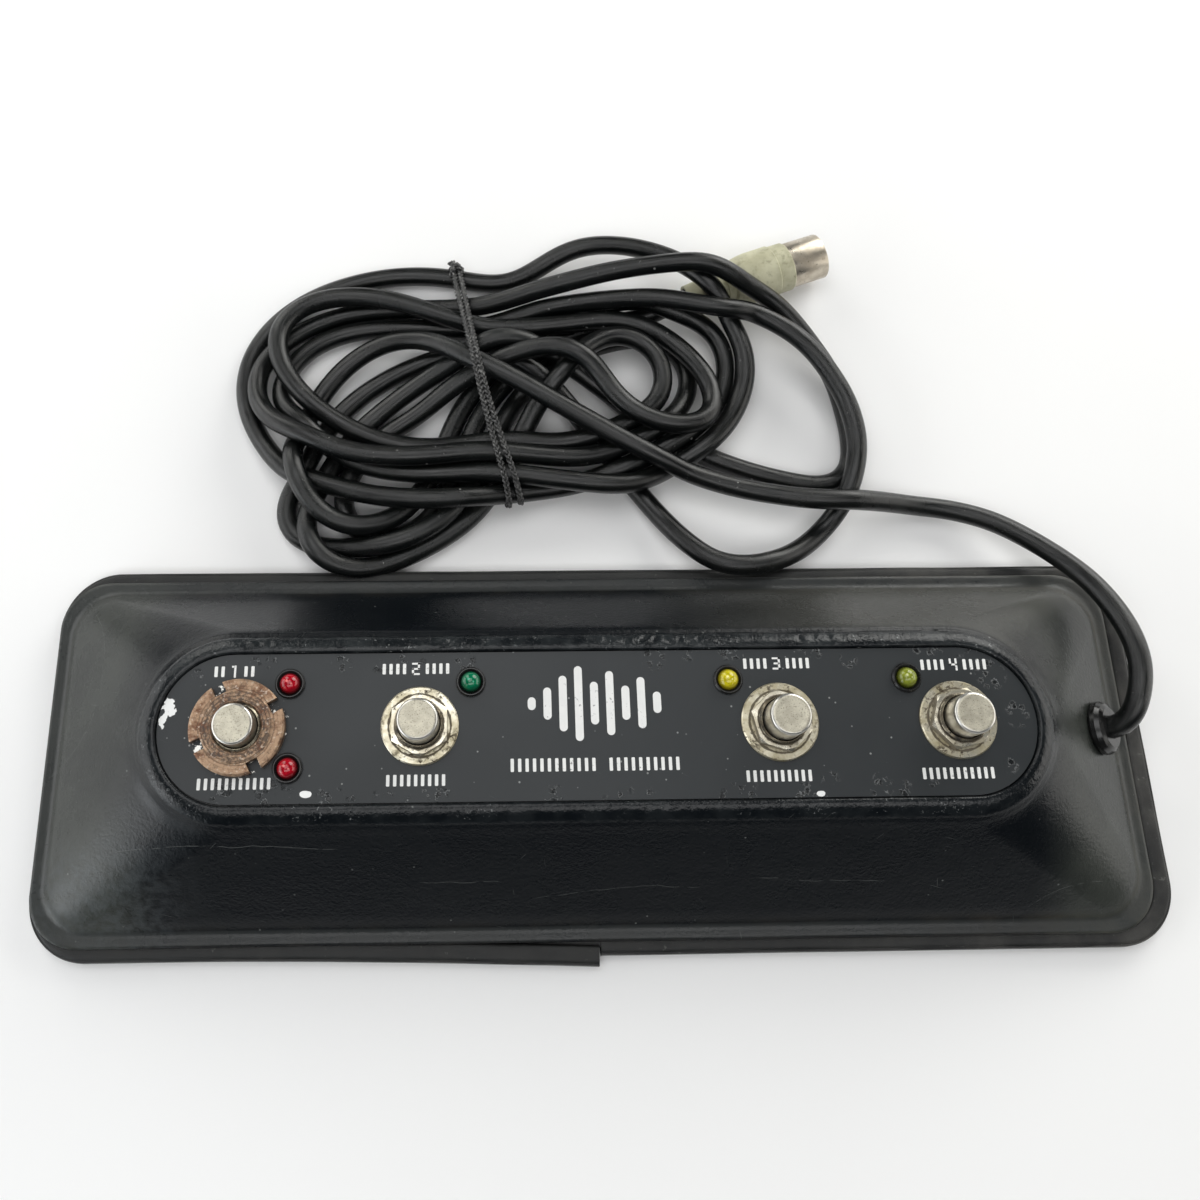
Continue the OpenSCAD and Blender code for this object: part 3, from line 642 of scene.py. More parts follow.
# Outline at successive heights: height, half length, half depth, corner radius, middle y
SHELL_LEVELS = [
    foot(RIM_Z, 0.25), foot(RIM_Z + 0.1, 0.05), foot(RIM_Z + 0.3, 0), foot(RIM_Z + 1.1, 0),
    foot(RIM_Z + 1.5, 0.1), foot(RIM_Z + 1.75, 0.4), foot(RIM_Z + 1.9, 1.0), foot(RIM_Z + 1.95, 1.9, 0.4),
    foot(RIM_Z + 2.05, 2.7, 0.7), foot(RIM_Z + 2.35, 3.4, 1.0), foot(RIM_Z + 2.9, 4.0, 1.2),
    foot(RIM_Z + 3.7, 4.7, 1.4), foot(RIM_Z + 4.6, 5.4, 1.6)]
LIP_LEVELS = [
    lip(29.4, 6.5), lip(30.1, 5.9), lip(30.5, 5.5), lip(30.8, 5.2), lip(31.05, 4.95), lip(31.3, 4.7),
    lip(31.65, 4.3), lip(32.05, 3.8), lip(32.4, 3.3), lip(32.7, 2.8), lip(32.93, 2.35), lip(33.1, 1.9),
    lip(33.21, 1.5), lip(33.26, 1.15), lip(33.25, 0.8), lip(33.15, 0.52), lip(32.9, 0.3), lip(32.6, 0.2),
    lip(RECESS_Z, 0.2)]
SLOPE_STEPS = 12


def blend_level(a, b, t):
    """Level a share t of the way from a to b."""
    return tuple(x + (y - x) * t for x, y in zip(a, b))


def outline(level, arc, flat):
    """Points of a rounded rectangle; the two long sides are divided into flat steps."""
    z, half_l, half_d, corner, middle = level
    points = []
    for quarter in range(4):
        cx = (half_l - corner) * (1 if quarter in (0, 3) else -1)
        cy = (half_d - corner) * (1 if quarter < 2 else -1)
        for i in range(arc):
            a = math.pi / 2 * (quarter + (i + 0.5) / arc)
            points.append((SHELL_X + cx + corner * math.cos(a), middle + cy + corner * math.sin(a), z))
        if quarter in (0, 2):
            x0, y0, _ = points[-1]
            a = math.pi / 2 * (quarter + 1 + 0.5 / arc)
            cx = -cx
            x1, y1 = SHELL_X + cx + corner * math.cos(a), middle + cy + corner * math.sin(a)
            for i in range(1, flat):
                t = i / flat
                points.append((x0 + (x1 - x0) * t, y0 + (y1 - y0) * t, z))
    return points


def skin(name, levels, arc, flat):
    """Closed mesh through the outlines of all levels."""
    rings = [outline(level, arc, flat) for level in levels]
    points = np.array([p for ring in rings for p in ring])
    return new_mesh(name, mm(points), ring_faces(len(rings), len(rings[0])))


def rod(name, x, y, z_from, z_to, radius, around=48):
    """Upright cylinder."""
    return lathe(name, [(radius, z_from), (radius, z_to)], around, (x, y, 0), closed=False)


def lumps(p, size, amount):
    """Smooth random height at a place, of about the given size and amount."""
    return amount * noise.noise(Vector(p) / size)


def worn_lip(obj):
    """Low waves over the whole moulding, and dents and blisters along the raised lip."""
    data = obj.data
    count = len(data.vertices)
    co = np.zeros(count * 3)
    data.vertices.foreach_get("co", co)
    co = co.reshape(-1, 3) / MM
    normals = np.zeros(count * 3)
    data.vertices.foreach_get("normal", normals)
    normals = normals.reshape(-1, 3)
    for i in range(count):
        p = co[i]
        if p[2] < RIM_Z + 0.5:
            continue
        move = lumps(p, 34, 0.12) + lumps(p, 9, 0.03) - 0.08
        dx = max(0.0, abs(p[0] - SHELL_X) - PLATE_HALF)
        dy = p[1] - FACE_Y
        far = math.hypot(dx, dy)
        out = far - PLATE_R
        if 0.3 < out < 7 and p[2] > 29 and normals[i][2] > 0.15:
            back = min(1.0, max(0.0, (dy / far + 0.1) / 0.7))
            crease = math.exp(-((out - 4.9 - lumps(p, 12, 0.3)) / 0.42) ** 2)
            move -= 0.5 * back * crease
            patch = min(1.0, max(0.0, 2.6 * noise.noise(Vector(p) / 17 + Vector((3, 1, 0))) + 0.35))
            pit = noise.noise(Vector(p) / 1.7 + Vector((9, 0, 4)))
            rise = 0.22 * max(0.0, pit) - 0.60 * max(0.0, -pit - 0.08)
            move += (0.25 + 0.75 * back) * patch * rise * math.exp(-((out - 2.6) / 1.9) ** 2)
        co[i] = p + normals[i] * min(move, 0.0 if p[2] > 33.2 else move)
    co[:, 2] = np.minimum(co[:, 2], 33.3)
    data.vertices.foreach_set("co", (co * MM).ravel())
    data.update()


# Cable exit, square to the right-hand slope
SLOPE_FOOT = (SHELL_X + HALF_L - 5.1, 9.3)
SLOPE_HEAD = (SHELL_X + PLATE_HALF + PLATE_R + 0.15 + 5.6, 30.6)
SLOPE_TURN = math.atan2(SLOPE_HEAD[1] - SLOPE_FOOT[1], SLOPE_FOOT[0] - SLOPE_HEAD[0])
GROMMET_AT = (124.4, FACE_Y, SLOPE_FOOT[1] + (SLOPE_FOOT[0] - 124.4) * math.tan(SLOPE_TURN))
EXIT_AXES = [[math.cos(SLOPE_TURN), 0, math.sin(SLOPE_TURN)], [0, 1, 0],
             [-math.sin(SLOPE_TURN), 0, math.cos(SLOPE_TURN)]]


def make_shell():
    """The moulding: worn outside, hollow underneath, with bosses, bores and lamp seats."""
    slope = [blend_level(SHELL_LEVELS[-1], LIP_LEVELS[0], (k + 1) / (SLOPE_STEPS + 1))
             for k in range(SLOPE_STEPS)]
    shell = skin("shell_moulding", SHELL_LEVELS + slope + LIP_LEVELS, ARC_POINTS, LIP_STEPS)
    worn_lip(shell)
    cavity = skin("cavity", [foot(RIM_Z - 1, 3.6, 2), foot(RIM_Z + 1.2, 3.6, 2), foot(RIM_Z + 4.2, 9.0, 3),
                             lip(CEILING, 4.2)], 8, 1)
    cut(cavity, [rod(f"boss_{k}", x, y, 0, 40, BOSS_R) for k, (x, y) in enumerate(SCREW_SPOTS)])
    holes = [rod(f"hole_{k}", x, y, 0, SCREW_HOLE_TOP, SCREW_HOLE_R) for k, (x, y) in enumerate(SCREW_SPOTS)]
    holes += [rod(f"bore_{k}", x, FACE_Y, 24, 40, SWITCH_BORE_R, 64) for k, x in enumerate(SWITCH_X)]
    holes += [rod(f"seat_{k}", x, y, 24, 40, LAMP_SEAT_R) for k, (x, y) in enumerate(LAMP_XY)]
    grommet = lathe("grommet_hole", [(GROMMET_BORE_R, -8), (GROMMET_BORE_R, 8)], 64, GROMMET_AT,
                    closed=False, axis=EXIT_AXES)
    cut(shell, [cavity] + holes + [grommet])
    sharpen(shell, 40)
    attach(shell, "housing")
    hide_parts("shell")
    return shell


shell = make_shell()

# ---- edge trim

BASE_LEN = 281.4
BASE_DEPTH = 96.5
TRIM_SPRING = 2.5
TRIM_Y = TRIM_SPRING / 2
TRIM_CORNER = 15
TRIM_JOINT = -2.2        # where the two ends of the channel meet
TRIM_SPRUNG_FROM = -101.0
# Section: inwards from the outer face, height
TRIM_SECTION = [
    (0.9, 0), (5, 0), (5, 2.15), (1.75, 2.15), (1.75, 3.45), (5, 3.45), (5, 4.2), (4.75, 4.6), (4.35, 4.82),
    (3.8, 4.92), (3.0, 4.95), (2.2, 4.93), (1.5, 4.88), (1.05, 4.78), (0.8, 4.6), (0.72, 4.42), (0.55, 4.36),
    (0.3, 4.28), (0.12, 4.0), (0.02, 3.5), (0.0, 2.3), (0.0, 1.3), (0.15, 0.7), (0.45, 0.25)]


def sprung(x):
    """How far the loose end has sprung away from the front edge."""
    if x <= TRIM_SPRUNG_FROM or x > TRIM_JOINT:
        return 0.0
    return TRIM_SPRING * ((x - TRIM_SPRUNG_FROM) / (TRIM_JOINT - TRIM_SPRUNG_FROM)) ** 1.6


def trim_stations():
    """Stations along the channel from its loose end: x, y, outward x, outward y."""
    front = TRIM_Y - BASE_DEPTH / 2
    corner_x = BASE_LEN / 2 - TRIM_CORNER
    corner_y = BASE_DEPTH / 2 - TRIM_CORNER
    stations = [(x, front - sprung(x), 0, -1) for x in np.linspace(TRIM_JOINT, -corner_x + 0.5, 80)]
    for sx, sy, start in ((-1, -1, 270), (-1, 1, 180), (1, 1, 90), (1, -1, 0)):
        for a in np.radians(start - np.linspace(0, 90, 25)):
            c, s = math.cos(a), math.sin(a)
            stations.append((sx * corner_x + TRIM_CORNER * c, TRIM_Y + sy * corner_y + TRIM_CORNER * s, c, s))
        x, y, ox, oy = stations[-1]
        if sx == sy:
            stations += [(x, t, ox, oy) for t in np.linspace(y, -y + 2 * TRIM_Y, 42)[1:-1]]
        elif sy == 1:
            stations += [(t, y, ox, oy) for t in np.linspace(x, -x, 160)[1:-1]]
    x, y, _, _ = stations[-1]
    return stations + [(t, y, 0, -1) for t in np.linspace(x, TRIM_JOINT + 0.5, 80)[1:]]


def make_trim():
    """Rubber channel around the foot, uneven along its length."""
    stations = trim_stations()
    points = []
    for x, y, ox, oy in stations:
        wave = 0.5 + 0.5 * noise.noise(Vector((x, y, 0)) / 21)
        for inwards, z in TRIM_SECTION:
            give = 0.28 * wave if z > 3.4 and inwards < 3.5 else 0.10 * wave
            shift = inwards + (give if inwards < 2.6 else 0)
            drop = 0.22 * noise.noise(Vector((x, y, 9)) / 13) - 0.12 if 0.3 < inwards < 4 and z > 4 else 0
            points.append((x - ox * shift, y - oy * shift, z + min(drop, 0.0)))
    around = len(TRIM_SECTION)
    trim = new_mesh("edge_channel", mm(points), ring_faces(len(stations), around))
    along = np.r_[0, np.cumsum([math.dist(a[:2], b[:2]) for a, b in zip(stations, stations[1:])])]
    corners = corner_points(trim)
    set_uv(trim, np.column_stack([along[corners // around] * MM, (corners % around) / around]))
    sharpen(trim, 50)
    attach(trim, "housing")
    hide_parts("edge_trim")
    return trim


trim = make_trim()

# ---- buttons and lamps

BUTTON_TOP = [40.2, 44.6, 45.0, 44.0]
BUTTON_PROFILE = [
    (0.001, -27.6), (1.6, -27.6), (2.0, -27.2), (2.0, -15.1), (4.7, -15.1), (4.75, -15.0), (4.75, -1.0),
    (4.74, -0.75), (4.68, -0.52), (4.58, -0.34), (4.42, -0.18), (4.2, -0.07), (3.95, -0.01), (3.75, 0.0),
    (3.55, -0.02), (3.3, -0.05), (2.4, -0.06), (0.001, -0.06)]
buttons = []
for n, top in enumerate(BUTTON_TOP):
    cap = lathe(f"button_cap_{n + 1}", BUTTON_PROFILE, 96, (SWITCH_X[n], FACE_Y, top), closed=False)
    sharpen(cap, 50)
    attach(cap, f"button_{n + 1}")
    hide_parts(f"button_{n + 1}")
    buttons.append(cap)

# Return springs, squeezed between the seat and the button as it goes down
SPRING_SEAT = [14.5, 16.5, 16.5, 16.5]
HEAD_LEN = 15.1          # from the button's top to the shoulder that the spring bears on
SPRING_R = 3.4
SPRING_WIRE = 0.4        # radius of the wire
SPRING_TURNS = 6
SPRING_POINTS = 220
springs = []
for n, top in enumerate(BUTTON_TOP):
    low = SPRING_SEAT[n] + SPRING_WIRE + 0.02
    high = top - HEAD_LEN - SPRING_WIRE - 0.05
    angles = np.linspace(0, 2 * math.pi * SPRING_TURNS, SPRING_POINTS)
    helix = np.column_stack([SWITCH_X[n] + SPRING_R * np.cos(angles), FACE_Y + SPRING_R * np.sin(angles),
                             np.linspace(low, high, SPRING_POINTS)])
    coil = tube(f"return_spring_{n + 1}", mm(helix), SPRING_WIRE * MM, 10)
    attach(coil, "housing")
    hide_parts(f"spring_{n + 1}")
    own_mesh(coil)
    springs.append(coil)

LAMP_TOP = 35.3
LAMP_R = 2.5
LAMP_NAMES = ["lamp_1_rear", "lamp_1_front", "lamp_2", "lamp_3", "lamp_4"]
LAMP_SLOTS = ["lamp_red", "lamp_red", "lamp_green", "lamp_yellow", "lamp_olive"]
LAMP_BASE = 27.9
LAMP_FLANGE_R = 2.9
LEAD_R = 0.25
LEAD_FOOT = 5.2          # where the leads meet the board
LEAD_OFFSET = 1.27       # from the lamp's middle
dome = [(LAMP_R * math.cos(a), LAMP_TOP - LAMP_R + LAMP_R * math.sin(a))
        for a in np.radians(np.linspace(0, 89.9, 16))]
lenses = []
for n, (x, y) in enumerate(LAMP_XY):
    profile = [(0.001, LAMP_BASE), (LAMP_FLANGE_R, LAMP_BASE), (LAMP_FLANGE_R, LAMP_BASE + 1),
               (LAMP_R, LAMP_BASE + 1)] + dome
    lens = lathe(f"lens_{LAMP_NAMES[n]}", profile, 64, (0, 0, 0), closed=False)
    sharpen(lens, 50)
    leads = [lathe(f"lead_{n}_{side}", [(LEAD_R, LEAD_FOOT), (LEAD_R, LAMP_BASE + 0.1)], 12,
                   (LEAD_OFFSET * side, 0, 0), closed=False) for side in (-1, 1)]
    lens = join(f"lens_{LAMP_NAMES[n]}", [lens] + leads)
    lens.location = mm((x, y, 0))
    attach(lens, "housing")
    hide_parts(LAMP_NAMES[n])
    lenses.append(lens)

# ---- printed marks

PRINT_T = 0.03           # thickness of the ink
EMBLEM_BARS = [3.0, 7.5, 13.0, 17.5, 10.0, 15.0, 8.0, 12.0, 5.0]
EMBLEM_AT = (-3.6, 9.2)
EMBLEM_PITCH = 3.7
EMBLEM_BAR = 1.9         # width of one bar


def upright_bar(x, y, height, width, segments=10):
    """Outline of an upright bar with round ends."""
    half = height / 2 - width / 2
    points = []
    for side in (1, -1):
        for k in range(segments + 1):
            a = math.radians(-90 + 180 * k / segments)
            points.append((x + side * width / 2 * math.sin(a), y + side * (half + width / 2 * math.cos(a))))
    return points[::-1]


def block(x, y, length, height, corner=0.25):
    """Outline of a small upright block with eased corners."""
    points = []
    for quarter, (sx, sy) in enumerate(((1, 1), (-1, 1), (-1, -1), (1, -1))):
        for k in range(4):
            a = math.radians(90 * quarter + 30 * k)
            points.append((x + sx * (length / 2 - corner) + corner * math.cos(a),
                           y + sy * (height / 2 - corner) + corner * math.sin(a)))
    return points


# Strokes of plain numerals in a box 1 wide and 2 high: middle x, y, width, height
NUMERALS = {
    1: [(0.1, 0, 0.34, 2), (-0.2, 0.8, 0.5, 0.3)],
    2: [(0, 0.85, 1.3, 0.3), (0.48, 0.43, 0.34, 1.1), (0, 0, 1.3, 0.3), (-0.48, -0.43, 0.34, 1.1),
        (0, -0.85, 1.3, 0.3)],
    3: [(0, 0.85, 1.3, 0.3), (0.48, 0, 0.34, 2), (0.1, 0, 1.0, 0.3), (0, -0.85, 1.3, 0.3)],
    4: [(-0.48, 0.43, 0.34, 1.15), (0, 0, 1.3, 0.3), (0.48, 0, 0.34, 2)]}


def numeral(value, x, y, height):
    """Strokes of one numeral, its middle at x, y."""
    scale = height / 2
    return [block(x + scale * dx, y + scale * dy, scale * w, scale * h, 0.12)
            for dx, dy, w, h in NUMERALS[value]]


def ticks(x, y, count, pitch, height):
    """Row of short upright scale marks, its middle at x, y."""
    return [block(x + (k - (count - 1) / 2) * pitch, y, 0.78, height, 0.2) for k in range(count)]


def make_prints():
    """All marks on the label: the wave sign, the numerals, and scale marks where words were."""
    bars = []
    for n, height in enumerate(EMBLEM_BARS):
        x = EMBLEM_AT[0] + EMBLEM_PITCH * (n - (len(EMBLEM_BARS) - 1) / 2)
        bars.append(upright_bar(x, EMBLEM_AT[1], height, EMBLEM_BAR))
    bars += ticks(-13.7, -4.9, 12, 1.72, 3.0) + ticks(7.5, -4.9, 10, 1.72, 3.0)
    above = [(-88.5, 17.5, 2), (-45.7, 17.7, 4), (40.2, 18.1, 4), (82.8, 17.4, 4)]
    below = [(-87.0, -8.3, 11), (-45.4, -8.0, 9), (38.6, -8.0, 10), (80.5, -7.9, 11)]
    for n, (x, y, count) in enumerate(above):
        side = 2.3 + 0.8 * (count - 0.5)
        bars += ticks(x - side, y, count, 1.6, 2.5)
        bars += numeral(n + 1, x, y, 2.9)
        bars += ticks(x + side, y, count, 1.6, 2.5)
    for x, y, count in below:
        bars += ticks(x, y, count, 1.6, 2.6)
    points, faces = [], []
    for outline_points in bars:
        solid, sides = slab(outline_points, FACE_Z, FACE_Z + PRINT_T)
        faces += [tuple(i + len(points) for i in f) for f in sides]
        points += solid
    prints = new_mesh("label_prints", mm(points), faces, smooth=False)
    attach(prints, "housing")
    return prints


prints = make_prints()

# ---- materials

SOCKETS = {"colour": "Base Color", "metallic": "Metallic", "rough": "Roughness", "coat": "Coat Weight",
           "coat_rough": "Coat Roughness", "specular": "Specular IOR Level"}


class Paint:
    """One node material around a Principled shader; sizes are in millimetres."""

    def __init__(self, name, **constants):
        """New material; constants go straight onto the shader's sockets."""
        self.material = bpy.data.materials.new(name)
        self.material.use_nodes = True
        self.nodes = self.material.node_tree.nodes
        self.links = self.material.node_tree.links
        self.shader = self.nodes["Principled BSDF"]
        self.bumped = None
        for key, value in constants.items():
            socket = self.shader.inputs[SOCKETS[key]]
            socket.default_value = (*value, 1) if key == "colour" else value

    def feed(self, socket, value):
        """Links a socket to another one, or sets it to a number or a colour."""
        if isinstance(value, bpy.types.NodeSocket):
            self.links.new(value, socket)
        elif socket.type == "RGBA":
            socket.default_value = (*value, 1)
        else:
            socket.default_value = value

    def math(self, operation, *values):
        """Result of one math node."""
        made = self.nodes.new("ShaderNodeMath")
        made.operation = operation
        for socket, value in zip(made.inputs, values):
            self.feed(socket, value)
        return made.outputs[0]

    def times(self, a, b):
        """Product of two values."""
        return self.math("MULTIPLY", a, b)

    def plus(self, a, b):
        """Sum of two values."""
        return self.math("ADD", a, b)

    def most(self, a, b):
        """The larger of two values."""
        return self.math("MAXIMUM", a, b)

    def place(self, stretch=(1, 1, 1), shift=(0, 0, 0), turn=0, uv=False):
        """Coordinates in metres, turned about Z, then scaled."""
        source = self.nodes.new("ShaderNodeTexCoord").outputs["UV" if uv else "Object"]
        turned = self.nodes.new("ShaderNodeMapping")
        turned.inputs["Rotation"].default_value = (0, 0, math.radians(turn))
        turned.inputs["Location"].default_value = shift
        self.links.new(source, turned.inputs["Vector"])
        scaled = self.nodes.new("ShaderNodeVectorMath")
        scaled.operation = "MULTIPLY"
        self.links.new(turned.outputs[0], scaled.inputs[0])
        scaled.inputs[1].default_value = stretch
        return scaled.outputs[0]

    def noise(self, size, detail=2.0, rough=0.5, warp=0.0, **where):
        """Cloudy noise around 0.5, with features of about the given size."""
        made = self.nodes.new("ShaderNodeTexNoise")
        self.links.new(self.place(**where), made.inputs["Vector"])
        made.inputs["Scale"].default_value = 1000 / size
        made.inputs["Detail"].default_value = detail
        made.inputs["Roughness"].default_value = rough
        made.inputs["Distortion"].default_value = warp
        return made.outputs[0]

    def cells(self, size, **where):
        """Distance to the nearest of scattered points."""
        made = self.nodes.new("ShaderNodeTexVoronoi")
        self.links.new(self.place(**where), made.inputs["Vector"])
        made.inputs["Scale"].default_value = 1000 / size
        return made.outputs["Distance"]

    def step(self, value, low, high, a=0.0, b=1.0):
        """Smooth change from a to b as value goes from low to high."""
        made = self.nodes.new("ShaderNodeMapRange")
        made.interpolation_type = "SMOOTHSTEP"
        self.feed(made.inputs["Value"], value)
        made.inputs["From Min"].default_value = low
        made.inputs["From Max"].default_value = high
        made.inputs["To Min"].default_value = a
        made.inputs["To Max"].default_value = b
        return made.outputs[0]

    def mix(self, share, a, b):
        """Colour a, with b laid over it by a share from 0 to 1."""
        made = self.nodes.new("ShaderNodeMix")
        made.data_type = "RGBA"
        self.feed(made.inputs[0], share)
        self.feed(made.inputs[6], a)
        self.feed(made.inputs[7], b)
        return made.outputs[2]

    def axis(self, name):
        """One coordinate of the object, in millimetres."""
        source = self.nodes.new("ShaderNodeTexCoord").outputs["Object"]
        split = self.nodes.new("ShaderNodeSeparateXYZ")
        self.links.new(source, split.inputs[0])
        return self.times(split.outputs[name], 1000)

    def facing(self, name):
        """How far the surface faces along one world axis, from -1 to 1."""
        split = self.nodes.new("ShaderNodeSeparateXYZ")
        self.links.new(self.nodes.new("ShaderNodeNewGeometry").outputs["Normal"], split.inputs[0])
        return split.outputs[name]

    def near(self, x, y, z, radius):
        """Soft round patch around a place, in millimetres."""
        made = self.nodes.new("ShaderNodeVectorMath")
        made.operation = "DISTANCE"
        self.links.new(self.nodes.new("ShaderNodeTexCoord").outputs["Object"], made.inputs[0])
        made.inputs[1].default_value = (x * MM, y * MM, z * MM)
        return self.step(made.outputs["Value"], radius * MM, radius * 0.55 * MM)

    def scratches(self, turn, length, width, shift=(0, 0, 0), uv=False):
        """Mask of short straight scratches at one angle, seen from above."""
        reach = 0.05
        stretch = (width / length, 1, width / length)
        near = self.cells(width / (2 * reach), turn=turn, shift=shift, stretch=stretch, uv=uv)
        return self.step(near, reach, reach * 0.3)

    def plan_distance(self, x, y, half_x=1, half_y=1):
        """Distance in plan from a place, in millimetres or in shares of two half widths."""
        dx = self.times(self.plus(self.axis("X"), -x), 1 / half_x)
        dy = self.times(self.plus(self.axis("Y"), -y), 1 / half_y)
        return self.math("SQRT", self.plus(self.times(dx, dx), self.times(dy, dy)))

    def arc_mark(self, x, y, radius, x_from, x_to, half_width):
        """Mask of a thin broken scratch along an arc, seen from above."""
        wander = self.times(self.plus(self.noise(9, 2), -0.5), 1.6)
        off = self.math("ABSOLUTE", self.plus(self.plus(self.plan_distance(x, y), wander), -radius))
        along = self.axis("X")
        ends = self.times(self.step(along, x_from, x_from + 3), self.step(along, x_to, x_to - 3))
        broken = self.step(self.noise(3.5, 3), 0.38, 0.52)
        return self.times(self.times(self.step(off, half_width, half_width * 0.4), ends), broken)

    def blob(self, x, y, half_x, half_y, ragged):
        """Mask of one ragged chip at a place on the label."""
        uneven = self.times(self.plus(self.noise(1.6, 3), -0.5), ragged * 3)
        return self.step(self.plus(self.plan_distance(x, y, half_x, half_y), uneven), 1.0, 0.9)

    def dot(self, x, y, radius):
        """Soft round spot at a place beside the piece's own middle."""
        return self.step(self.plan_distance(x, y), radius, radius * 0.4)

    def bump(self, height, depth, strength=1.0):
        """Adds a height map; depth in millimetres."""
        made = self.nodes.new("ShaderNodeBump")
        made.inputs["Strength"].default_value = strength
        made.inputs["Distance"].default_value = depth * MM
        self.feed(made.inputs["Height"], height)
        if self.bumped is not None:
            self.links.new(self.bumped, made.inputs["Normal"])
        self.bumped = made.outputs[0]

    def done(self, colour, rough=None, metallic=None, specular=None):
        """Connects the shader's inputs and gives the finished material."""
        feeds = {"colour": colour, "rough": rough, "metallic": metallic, "specular": specular}
        for key, value in feeds.items():
            if value is not None:
                self.feed(self.shader.inputs[SOCKETS[key]], value)
        if self.bumped is not None:
            self.links.new(self.bumped, self.shader.inputs["Normal"])
        return self.material


# Long shallow scratches on the shell: middle x, y, radius, from x, to x, half width
SHELL_MARKS = [
    (-96, -420, 398.5, -118, -62, 0.10), (10, -190, 158.5, -20, 22, 0.07), (60, 250, 281, 34, 66, 0.08),
    (-30, 330, 360, -46, -24, 0.07), (-150, 20, 26.5, -140, -122, 0.09), (118, -60, 28, 98, 122, 0.08)]


def shell_paint():
    """Semi-matt black moulded plastic: fine grain, scratches, dust in the hollows, a bruised lip; a painted
    sheen on the end slopes, painted highlights on the front-left corner, the flange and the lip, and a
    painted reflection on the back slope.
    """
    p = Paint("shell_plastic")
    x, y, z = p.axis("X"), p.axis("Y"), p.axis("Z")
    cloud = p.noise(26, 4, 0.6)
    fine = p.noise(2.4, 3, 0.6)
    base = p.mix(cloud, (0.0018, 0.0030, 0.0044), (0.0046, 0.0060, 0.0076))
    low = p.times(p.step(z, 10.5, 6.6), p.step(z, 5.0, 6.0))
    right = p.step(x, 60, 133)
    dust = p.times(low, p.plus(0.25, p.times(right, 0.9)))
    dust = p.times(dust, p.step(p.noise(9, 4, 0.6), 0.3, 0.7))
    colour = p.mix(p.times(dust, 0.55), base, (0.062, 0.052, 0.036))
    # The end slopes are paler: dust haze, and a painted sheen of their reflections
    side = p.most(p.step(x, 100, 116), p.step(x, -105, -122))
    dust_and_sheen = p.times(side, p.step(cloud, 0.3, 0.7, 0.5, 1.0))
    colour = p.mix(p.times(dust_and_sheen, 0.55), colour, (0.066, 0.072, 0.061))
    # Painted highlight: pale bluish grain on the front-left corner's ridge
    corner = p.times(p.step(x, -92, -118), p.step(y, -14, -30))
    corner = p.times(corner, p.step(fine, 0.35, 0.65))
    colour = p.mix(p.times(corner, 0.35), colour, (0.075, 0.085, 0.090))
    # Painted reflection: the back slope's upper faces are paler towards the right; their shaded middle gets
    # less specular, as painted shade
    back = p.times(p.step(p.facing("Y"), 0.30, 0.60), p.step(z, 31, 29))
    colour = p.mix(p.times(p.times(back, p.step(x, 5, 75)), 0.45), colour, (0.105, 0.105, 0.092))
    shaded = p.times(p.times(back, p.step(x, -75, -40)), p.step(x, 50, 10))
    # The band along the foot is paler: dust, and a painted highlight where the flange is lit
    flange = p.times(p.step(z, 7.9, 7.3), p.step(z, 6.6, 6.9))
    colour = p.mix(p.times(flange, 0.6), colour, (0.040, 0.043, 0.043))
    marks = p.most(p.scratches(14, 5, 0.10), p.scratches(-38, 3.2, 0.09, (0.3, 0.1, 0)))
    marks = p.most(marks, p.scratches(78, 4, 0.10, (0.7, 0.4, 0)))
    marks = p.times(marks, p.step(p.noise(13, 3), 0.44, 0.64))
    for mark in SHELL_MARKS:
        marks = p.most(marks, p.times(p.arc_mark(*mark), 0.45))
    specks = p.step(p.cells(4.2, shift=(0.2, 0, 0)), 0.075, 0.035)
    specks = p.times(specks, p.step(p.noise(10, 2), 0.46, 0.62))
    colour = p.mix(p.times(p.most(marks, specks), 0.55), colour, (0.20, 0.21, 0.20))
    # The lip faces are paler, more so towards the back: wear, and a painted highlight
    lip_face = p.times(p.step(z, 30.6, 31.8), p.step(p.noise(5, 3), 0.35, 0.65, 0.2, 1.0))
    lip_face = p.times(lip_face, p.step(y, -20, 24, 0.45, 1.0))
    colour = p.mix(p.times(lip_face, 0.30), colour, (0.055, 0.062, 0.064))
    scuffed = p.times(p.step(z, 31.6, 32.2), p.step(p.noise(0.9, 4, 0.65, 0.5), 0.60, 0.70))
    scuffed = p.times(scuffed, p.step(p.noise(14, 2, shift=(0.4, 0, 0)), 0.48, 0.60))
    colour = p.mix(p.times(scuffed, 0.7), colour, (0.26, 0.27, 0.27))
    rough = p.plus(p.plus(p.step(cloud, 0.25, 0.75, 0.19, 0.27), p.times(fine, 0.08)), p.times(dust, 0.25))
    rough = p.plus(rough, p.times(p.step(z, 31.0, 32.0), -0.10))
    # Less specular on front-facing faces and on the back slope's shaded middle: painted shade
    front = p.step(p.facing("Y"), -0.30, -0.60)
    p.bump(p.noise(0.85, 3, 0.65), 0.10, 0.9)
    p.bump(p.noise(5.5, 3, 0.55), 0.16, 0.45)
    p.bump(p.times(p.step(z, 30.9, 31.6), p.noise(1.3, 3, 0.6)), 0.18, 0.8)
    p.bump(marks, -0.04, 0.9)
    return p.done(colour, rough, specular=p.step(p.most(front, p.times(shaded, 0.9)), 0, 1, 0.30, 0.14))


